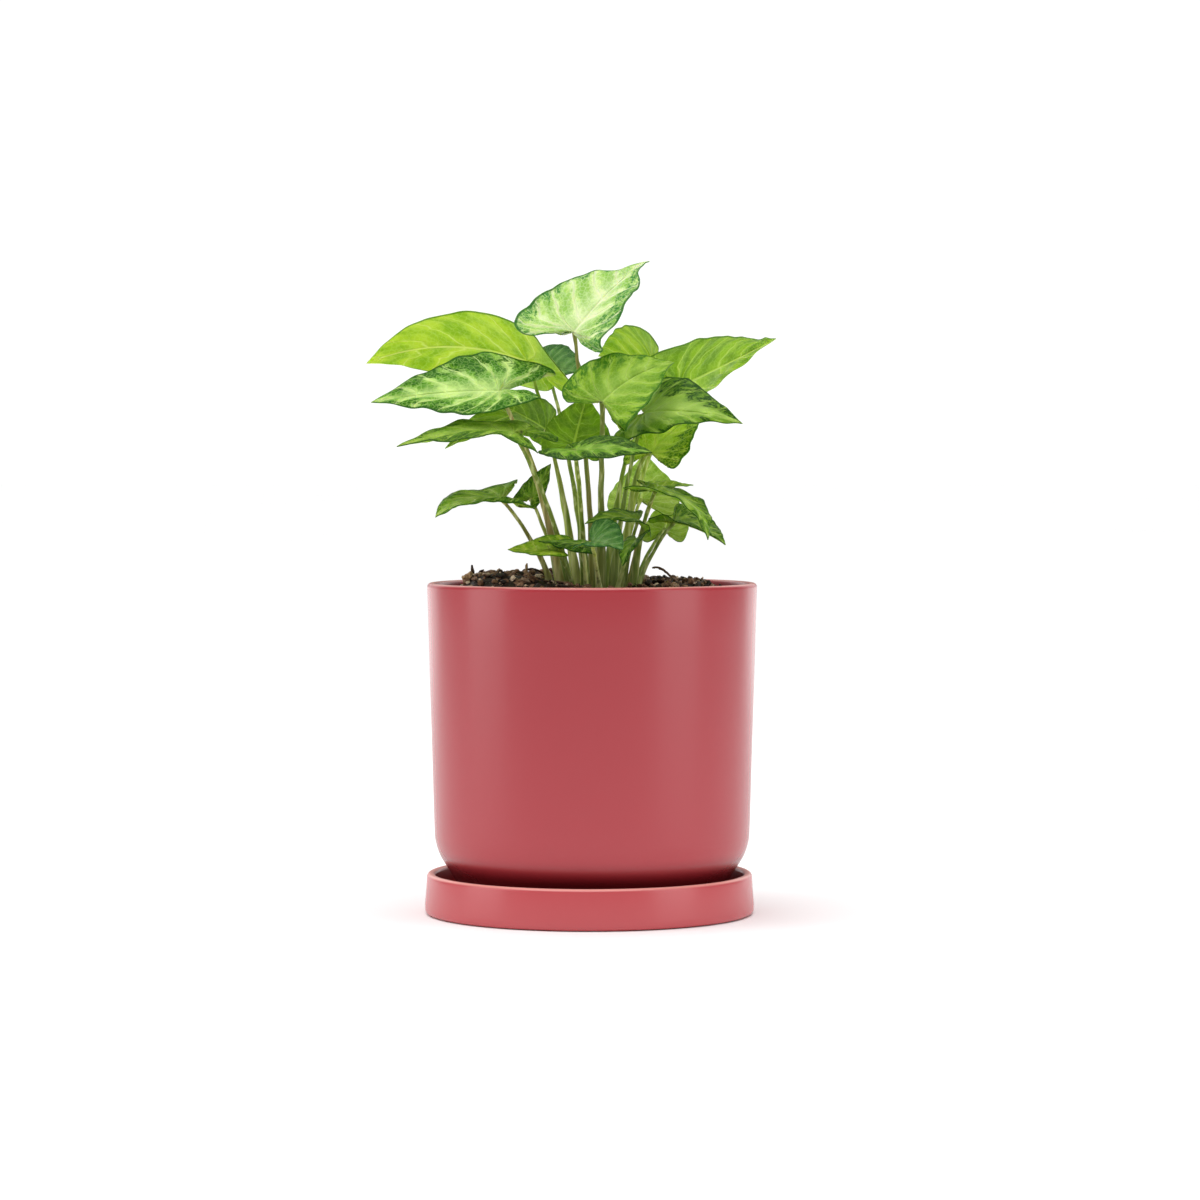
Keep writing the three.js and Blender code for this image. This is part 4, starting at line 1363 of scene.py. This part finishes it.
@dataclass
class Blade:
    """A thin blade: a sheet bowed, folded and twisted, with sunken veins, quilting and a wavy margin.

    Attributes:
        leaf: the leaf's row.
        seed: which of the chances it takes.
        thickness: of the sheet, in millimetres.
        ruffle: height of the margin's waves in millimetres.
        quilt: how far the blade rises between its side veins.
    """

    leaf: Leaf
    seed: int
    thickness: float = 0.45
    ruffle: float = 1.2
    quilt: float = 0.75

    def __post_init__(self) -> None:
        """Work out the blade's length, its facing and its midrib."""
        at, tip = np.array(self.leaf.at, float), np.array(self.leaf.tip, float)
        chord = tip - at
        self.length = float(np.linalg.norm(chord))
        along = chord / self.length
        level = unit(np.array((0, 0, 1.0)) - along * along[2])
        side = np.cross(level, along)
        roll = math.radians(self.leaf.roll)
        self.face = level * math.cos(roll) + side * math.sin(roll)
        self.left = np.cross(self.face, along)
        bow = self.face * self.leaf.arch + self.left * self.leaf.sweep
        self.spine = (at, at + chord * 0.5 + bow * self.length, tip)

    def surface(self, along: np.ndarray, across: np.ndarray, left: np.ndarray) -> np.ndarray:
        """Places on the curved sheet.

        Args:
            along: shares of the length, below 0 in the ears.
            across: millimetres from the midrib.
            left: whether each place is left of the midrib.

        Returns:
            One row of millimetres for each place.
        """
        leaf = self.leaf
        sides = [np.where(left, pair[0], pair[1])[:, None]
                 for pair in (leaf.droop, leaf.fold, leaf.width, (1.0, -1.0))]
        droop, fold, width, hand = np.radians(sides[0]), np.radians(sides[1]), sides[2], sides[3]
        share = np.clip(along, 0, 1)[:, None]
        at, middle, tip = self.spine
        place = at * (1 - share) ** 2 + middle * 2 * share * (1 - share) + tip * share ** 2
        ahead = unit((middle - at) * (1 - share) + (tip - middle) * share)
        over = unit(self.left - ahead * (ahead @ self.left)[:, None])
        up = np.cross(ahead, over)
        twist = math.radians(leaf.twist) * share
        flank = over * np.cos(twist) + up * np.sin(twist)
        rise = up * np.cos(twist) - over * np.sin(twist)
        behind = np.minimum(along, 0)[:, None] * self.length
        out = across[:, None]
        place = place + ahead * behind * np.cos(droop) + rise * behind * np.sin(droop)
        beyond = np.maximum(along - 1, 0)[:, None] * self.length
        place = place + ahead * beyond - flank * beyond * beyond * leaf.hook
        place = place + flank * hand * out * np.cos(fold)
        return place + rise * (out * np.sin(fold) + leaf.cup * out ** 2 / width)

    def relief(self, across: np.ndarray, along: np.ndarray) -> np.ndarray:
        """Height of the sheet's relief in millimetres, positive on the upper face.

        Args:
            across: -1 to 1 from the left margin to the right.
            along: 0 to 1 from the notch to the tip, along the margin.

        Returns:
            One height for each place.
        """
        out = np.abs(across)
        phase = (along - 0.06 * out ** 2) * VEINS
        gap = np.abs(2 * (phase % 1) - 1)
        size = min(1.0, self.length / 55)
        inside = soft(out, 0.02, 0.25) * (1 - soft(out, 0.8, 1.0))
        ends = soft(along, 0.0, 0.08) * (1 - soft(along, 0.84, 0.97))
        quilt = self.quilt * size * soft(gap, 0.0, 0.55) * inside * ends
        groove = -0.38 * (1 - soft(out, 0.0, 0.07))
        groove = groove * (1 - soft(along, 0.85, 1.0)) * soft(along, 0.23, 0.34)
        waves = np.array([noise.noise(Vector((t * 9.0, q * 1.2, self.seed * 3.1 + (5.0 if q < 0 else 0.0))))
                          for q, t in zip(across, along)])
        broad = np.array([noise.noise(Vector((t * 3.2, q * 1.5, self.seed * 1.7)))
                          for q, t in zip(across, along)])
        edge = soft(out, 0.45, 1.0) * soft(along, 0.02, 0.1) * (1 - soft(along, 0.88, 0.98))
        return quilt + groove + waves * 2.2 * self.ruffle * size * edge + broad * 2.2 * size * inside * ends

    def margin(self, row: float, half: int) -> Pair:
        """The margin's wavy course on one side.

        Args:
            row: 0 to 1 from the notch to the tip.
            half: 0 for the left side, 1 for the right.

        Returns:
            Share of the length along the blade, and millimetres from the midrib.
        """
        leaf = self.leaf
        fade = clamp(row / 0.06) * clamp((1 - row) / 0.08)
        reach, width = along_margin(row, leaf.ear[half], leaf.spread[half], leaf.taper, leaf.notch[half])
        wave = noise.noise(Vector((row * 16, self.seed, half * 7)))
        reach += leaf.drip * clamp((row - 0.9) / 0.1) ** 2
        width *= 1 - 3 * leaf.drip * math.sin(math.pi * clamp((row - 0.8) / 0.2))
        return reach + 0.012 * wave * fade, width * (1 + 0.035 * wave * fade) * leaf.width[half]

    def sheet(self) -> Piece:
        """Shape a grid into the open sheet, with its own map from margin to margin and notch to tip.

        Returns:
            The sheet, with its doubled points merged.
        """
        columns, rows = (52, 84) if self.length > 34 else (32, 52)
        clear_selection()
        bpy.ops.mesh.primitive_grid_add(x_subdivisions=columns, y_subdivisions=rows, size=2, calc_uvs=True)
        piece = bpy.context.object
        grid = points_of(piece)
        across = grid[:, 0] * (0.55 + 0.45 * np.abs(grid[:, 0]))
        along = 0.5 + 0.5 * grid[:, 1]
        margins = {(row, half): self.margin(row, half)
                   for row in np.unique(np.round(along, 6)) for half in (0, 1)}
        u, v = np.empty(len(grid)), np.empty(len(grid))
        for index, (q, t) in enumerate(zip(across, np.round(along, 6))):
            reach, width = margins[t, 0 if q < 0 else 1]
            root = vein_root(t) + self.leaf.drip * clamp((t - 0.9) / 0.1) ** 2
            u[index] = root + (reach - root) * abs(q) ** 1.12
            v[index] = width * abs(q)
        put_points(piece, self.surface(u, v, across < 0) * MM)
        normals = np.empty(len(grid) * 3, np.float32)
        piece.data.vertices.foreach_get("normal", normals)
        lift = normals.reshape(-1, 3) * self.relief(across, along)[:, None] * MM
        put_points(piece, points_of(piece) + lift)
        layer = piece.data.uv_layers[0]
        layer.name = "Ribs"
        corner = np.empty(len(piece.data.loops), np.int32)
        piece.data.loops.foreach_get("vertex_index", corner)
        spots = np.stack((0.5 + 0.5 * across[corner], along[corner]), 1)
        layer.data.foreach_set("uv", spots.ravel())
        pick_points(piece, along < 1e-6)
        bpy.ops.mesh.delete(type="VERT")
        bpy.ops.mesh.select_all(action="SELECT")
        bpy.ops.mesh.remove_doubles(threshold=4e-7)
        bpy.ops.object.mode_set(mode="OBJECT")
        return piece

    def build(self) -> Piece:
        """Build the closed blade: upper face first, underside with the second material.

        Returns:
            The piece, not yet dressed.
        """
        piece = self.sheet()
        piece.name = piece.data.name = "blade_" + self.leaf.name
        piece.data.materials.append(None)
        piece.data.materials.append(None)
        apply_modifier(piece, "SOLIDIFY", thickness=self.thickness * MM, offset=0, material_offset=1,
                       use_quality_normals=True)
        smooth(piece, 55)
        store(piece, "seed", (self.seed * 2.37) % 11)
        return piece


@dataclass
class Stalk:
    """A leaf's stalk: a sheath at the foot, slender above, ending under its blade.

    Attributes:
        leaf: the leaf's row.
        blade: the blade that it carries.
        soil_top: height of the soil where stalks come out.
        slender: radius below the blade in millimetres.
    """

    leaf: Leaf
    blade: Blade
    soil_top: float = 147.3
    slender: float = 0.8

    def __post_init__(self) -> None:
        """Work out the stalk's curve and how thick it is at the foot."""
        foot, at = Vector((*self.leaf.foot, self.soil_top)), Vector(self.leaf.at)
        late = 0.6 - 0.35 * self.leaf.bend
        shares = (Vector((0.18, 0.18, 0.38)), Vector((late, late, 0.75 + 0.25 * self.leaf.bend)))
        bends = [foot + (at - foot) * share for share in shares]
        self.corners = [foot - Vector((0, 0, 3)), *bends, at - Vector(self.blade.face) * 0.35]
        self.tall = self.leaf.at[2] - SOIL_LEVEL > 40
        self.base = 1.8 if self.tall else 1.25

    def share_of(self, height: float) -> float:
        """Share of the curve at a height in millimetres, found step by step.

        Args:
            height: above the table.

        Returns:
            The share, 0 at the foot.
        """
        low, rise = self.corners[0].z, self.corners[3].z - self.corners[0].z
        share = clamp((height - low) / rise)
        for _ in range(6):
            share = clamp(share + (height - bezier(self.corners, share).z) / (3 * rise))
        return share

    def spread_foot(self, piece: Piece) -> None:
        """Widen the foot round the clump and open it inwards, as a sheath.

        Args:
            piece: the stalk.
        """
        points = points_of(piece) / MM
        lane = Vector((self.leaf.foot[0] - 3, self.leaf.foot[1] + 2, 0))
        lane = lane.normalized() if lane.length > 1 else Vector((0, -1, 0))
        out, flank = np.array(lane), np.array((-lane.y, lane.x, 0))
        for point in points:
            low = clamp(1 - (point[2] - SOIL_LEVEL) / (26 if self.tall else 11))
            if low > 0:
                centre = np.array(bezier(self.corners, self.share_of(point[2])))
                wide = (point - centre) @ flank
                point += flank * wide * 0.3 * low + out * (0.16 * low * (abs(wide) - self.base * 0.5))
        put_points(piece, points * MM)

    def build(self) -> Piece:
        """Build the stalk and spread its foot into a sheath.

        Returns:
            The piece, not yet dressed.
        """
        chance = random.Random(self.leaf.name)
        sheath = chance.uniform(0.2, 0.4)

        def width(share: float) -> float:
            """Radius of the stalk: sheathed, then slender, a little wider at the blade.

            Args:
                share: 0 at the foot, 1 at the blade.

            Returns:
                The radius in millimetres.
            """
            wrap = 0.3 * clamp((sheath - share) / 0.05) * self.tall
            taper = self.slender + (self.base - self.slender) * (1 - share) ** 2.2
            return self.leaf.stout * (taper + wrap) + 0.35 * clamp((share - 0.94) / 0.06)

        piece = rod("stalk_" + self.leaf.name, self.corners, width, cuts=15, sides=14)
        self.spread_foot(piece)
        roughen(piece, 9, 0.35, len(self.leaf.name) + self.leaf.foot[0])
        smooth(piece, 60)
        store(piece, "blush", chance.choice((0.0, 0.1, 0.4, 0.8)) if self.tall else 0.0)
        store(piece, "green", chance.choice((0.0, 0.05, 0.4, 0.7)))
        return piece


UPPERS: dict[Kind, BladeFinish] = {
    Kind.LIME: BladeFinish(
        "Lime blade", (158, 184, 44), (122, 158, 22), (196, 214, 108), (76, 122, 14), (80, 122, 22),
        cover=(0.1, 0.12), breaks=0.5, flecks=0.05, heart=0.08, paleness=0.3, feather=0.2),
    Kind.PALE: BladeFinish(
        "Pale blade", (134, 180, 56), (82, 140, 26), (206, 230, 146), (44, 98, 6), (32, 84, 6),
        cover=(0.34, 0.44), breaks=0.75, flecks=0.35, heart=0.16, paleness=0.55, veins=0.75, net=0.8,
        feather=0.7),
    Kind.TOP: BladeFinish(
        "Top blade", (188, 218, 124), (144, 188, 84), (232, 242, 196), (66, 132, 54), (44, 102, 30),
        cover=(0.18, 0.42), breaks=0.75, heart=0.2, paleness=0.4, veins=0.7, net=0.9, feather=0.6),
    Kind.FRONT: BladeFinish(
        "Front blade", (138, 174, 44), (106, 148, 26), (180, 208, 104), (62, 116, 14), (52, 102, 16),
        cover=(0.3, 0.16), breaks=0.85, flecks=0.25, heart=0.2, paleness=0.3, net=0.7, feather=0.3),
    Kind.MOTTLED: BladeFinish(
        "Mottled blade", (116, 154, 38), (90, 132, 22), (172, 200, 96), (30, 72, 0), (28, 72, 2),
        cover=(0.5, 0.1), breaks=0.8, flecks=0.25, heart=0.4, paleness=0.55, feather=0.5),
    Kind.NETTED: BladeFinish(
        "Netted blade", (190, 216, 58), (162, 198, 40), (216, 234, 114), (74, 122, 12), (60, 112, 16),
        cover=(0.2, 0.5), breaks=0.5, heart=0.2, paleness=0.3, veins=0.8, net=1.0, feather=0.4),
    Kind.GRASS: BladeFinish(
        "Grass-green blade", (126, 160, 30), (104, 144, 20), (176, 202, 92), (70, 116, 14), (72, 116, 20),
        cover=(0.14, 0.14), breaks=0.5, flecks=0.1, heart=0.1, paleness=0.3, feather=0.25),
    Kind.DARK: BladeFinish(
        "Dark blade", (112, 156, 38), (84, 128, 22), (166, 196, 96), (30, 68, 2), (28, 64, 4),
        cover=(0.72, 0.24), breaks=0.4, flecks=0.4, veins=0.6),
    Kind.DEEP: BladeFinish(
        "Deep blade", (122, 158, 36), (92, 132, 20), (178, 202, 98), (52, 92, 8), (42, 80, 10),
        cover=(0.38, 0.38), flecks=0.4, veins=0.6),
    Kind.MILD: BladeFinish(
        "Mild blade", (150, 182, 66), (118, 156, 42), (194, 214, 124), (64, 108, 22), (50, 94, 18),
        cover=(0.3, 0.3), veins=0.6),
    Kind.BLUE: BladeFinish(
        "Blue-green blade", (84, 130, 60), (62, 108, 42), (142, 174, 110), (42, 88, 32), (36, 80, 28),
        cover=(0.3, 0.3), heart=0.12, paleness=0.3, feather=0.3),
}

UNDERSIDES: dict[Kind, UndersideFinish] = {
    Kind.LIME: UndersideFinish(
        "Lime underside", (180, 204, 58), (136, 172, 26), (212, 228, 124), (72, 114, 14)),
    Kind.GRASS: UndersideFinish(
        "Grass-green underside", (138, 170, 40), (98, 136, 18), (184, 206, 96), (58, 100, 14)),
    # Painted shade: a darker copy of the lime underside for the leaves in the clump's shade.
    Kind.SHADED: UndersideFinish(
        "Shaded lime underside", (114, 150, 22), (84, 118, 8), (160, 188, 72), (70, 106, 12)),
    # Painted light: a duller, less saturated copy of the lime underside for the two leaves lit through from
    # behind.
    Kind.DUSTY: UndersideFinish(
        "Backlit lime underside", (160, 182, 82), (128, 154, 52), (192, 208, 128), (104, 136, 42)),
    Kind.PALE: UndersideFinish(
        "Pale underside", (168, 198, 88), (134, 172, 54), (206, 224, 142), (84, 134, 38)),
    Kind.DEEP: UndersideFinish(
        "Deep underside", (132, 166, 50), (102, 142, 32), (180, 200, 100), (70, 112, 22)),
}

# Which underside a look has; the ones that are not named have the pale one.
LOWER_LOOKS = {
    Kind.LIME: Kind.LIME, Kind.NETTED: Kind.GRASS, Kind.GRASS: Kind.GRASS, Kind.SHADED: Kind.SHADED,
    Kind.DUSTY: Kind.DUSTY, Kind.DEEP: Kind.DEEP, Kind.DARK: Kind.DEEP, Kind.MILD: Kind.DEEP,
    Kind.BLUE: Kind.DEEP,
}


@dataclass
class Plant:
    """The clump of leaves, each a stalk and a blade, with a small sprout beside it."""

    stalk_finish: StemFinish = field(default_factory=StemFinish)

    def finishes(self) -> dict[Kind, tuple[bpy.types.Material, bpy.types.Material]]:
        """Make the finishes of each look.

        Returns:
            The upper and the lower material for each look.
        """
        above = {kind: finish.make() for kind, finish in UPPERS.items()}
        below = {kind: finish.make() for kind, finish in UNDERSIDES.items()}
        return {kind: (above.get(kind, above[Kind.LIME]), below[LOWER_LOOKS.get(kind, Kind.PALE)])
                for kind in Kind}

    def sprout(self, material: bpy.types.Material) -> None:
        """Build the pale sprout in front of the clump's left side.

        Args:
            material: the stalks' finish.
        """
        x, y = -22.0, -6.0
        low = soil_height(x, y)
        corners = [(x, y, low - 1), (x - 0.2, y, low + 1.5), (x + 0.9, y - 0.4, low + 2.6),
                   (x + 1.9, y - 0.8, low + 4.4)]
        piece = rod("sprout", corners, lambda t: 1.15 - 0.85 * t, cuts=4, sides=10)
        roughen(piece, 2, 0.2)
        smooth(piece, 60)
        store(piece, "blush", 0.0)
        store(piece, "green", 0.0)
        dress(piece, "stem", material)

    def build(self) -> None:
        """Build every leaf's stalk and blade, and the sprout."""
        skin = self.stalk_finish.make()
        finishes = self.finishes()
        for number, leaf in enumerate(LEAVES):
            blade = Blade(leaf, number)
            stalk = Stalk(leaf, blade).build()
            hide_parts("stem_" + leaf.name)
            dress(stalk, "stem", skin)
            piece = blade.build()
            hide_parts("leaf_" + leaf.name)
            dress(piece, leaf.kind.slot, *finishes[leaf.kind])
        self.sprout(skin)


# ---- studio ----

@dataclass
class Studio:
    """A pale floor, an even white surround, a soft light from above and the viewer's camera.

    Attributes:
        surround: brightness of the light that comes from all around.
        backdrop: brightness of the surround where it is seen.
        mirrored: brightness of the surround in reflections.
        key: strength of the soft light from above.
        side: power of each upright soft box.
    """

    surround: float = 0.43
    backdrop: float = 1.08
    mirrored: float = 0.3
    key: float = 2.15
    side: float = 7.5

    def floor(self) -> None:
        """Lay a pale matt floor just below the saucer."""
        clear_selection()
        bpy.ops.mesh.primitive_plane_add(size=60, location=(0, 0, -0.0003))
        piece = bpy.context.object
        piece.name = "floor"
        mix = Recipe("Pale floor")
        tone = mix.blend(mix.speckle(mix.place(), 1.5, 2), (250, 250, 250), (246, 246, 246))
        piece.data.materials.append(mix.surface(tone, Roughness=0.9, Specular_IOR_Level=0.1))

    def surround_light(self) -> None:
        """Light the scene evenly from all around, with a white backdrop."""
        world = bpy.data.worlds.new("Surround")
        bpy.context.scene.world = world
        world.use_nodes = True
        tree = world.node_tree
        background = tree.nodes["Background"]
        background.inputs["Color"].default_value = (1, 1, 1, 1)
        path = tree.nodes.new("ShaderNodeLightPath")
        matt = tree.nodes.new("ShaderNodeMapRange")
        gloss = tree.nodes.new("ShaderNodeMapRange")
        matt.inputs["To Min"].default_value = self.backdrop
        matt.inputs["To Max"].default_value = self.surround
        gloss.inputs["To Max"].default_value = self.mirrored
        tree.links.new(path.outputs["Is Diffuse Ray"], matt.inputs["Value"])
        tree.links.new(path.outputs["Is Glossy Ray"], gloss.inputs["Value"])
        tree.links.new(matt.outputs[0], gloss.inputs["To Min"])
        tree.links.new(gloss.outputs[0], background.inputs["Strength"])

    def lights(self) -> None:
        """Add a wide soft light from above and an upright soft box on either side."""
        self.surround_light()
        clear_selection()
        bpy.ops.object.light_add(type="SUN", location=(0, 0, 1.5))
        lamp = bpy.context.object
        lamp.data.angle = math.radians(60)
        lamp.data.energy = self.key
        lamp.rotation_euler = Vector((0.1, 0.12, -1)).to_track_quat("-Z", "Y").to_euler()
        for turn in (62, -78, 150, -150):
            place = Vector((math.sin(math.radians(turn)), -math.cos(math.radians(turn)), 0.35)) * 1.5
            bpy.ops.object.light_add(type="AREA", location=place)
            lamp = bpy.context.object
            lamp.data.shape = "RECTANGLE"
            lamp.data.size = 0.9
            lamp.data.size_y = 1.5
            lamp.data.energy = self.side if abs(turn) < 90 else self.side * 0.5
            lamp.rotation_euler = (Vector((0, 0, 0.15)) - lamp.location).to_track_quat("-Z", "Y").to_euler()
        bpy.context.scene.view_settings.view_transform = "Standard"

    def camera(self) -> None:
        """Stand the camera where the viewer stood: in front, slightly above."""
        clear_selection()
        bpy.ops.object.camera_add(location=(4.84 * MM, -1796.3 * MM, 209.4 * MM),
                                  rotation=(math.radians(90 - 2.08), 0, 0))
        camera = bpy.context.object
        camera.data.lens = 117
        camera.data.sensor_width = 36
        camera.data.clip_end = 60
        bpy.context.scene.camera = camera

    def build(self) -> None:
        """Set up the floor, the lights and the camera."""
        self.floor()
        self.lights()
        self.camera()


def main() -> None:
    """Build everything in order."""
    logging.basicConfig(level=logging.INFO, format="%(name)s %(message)s")
    noise.seed_set(CLOUD_SEED)
    for maker in (Studio(), Ceramics(), Soil(), Plant()):
        LOG.info("building %s", type(maker).__name__)
        maker.build()
    clear_selection()


if __name__ == "__main__":
    main()
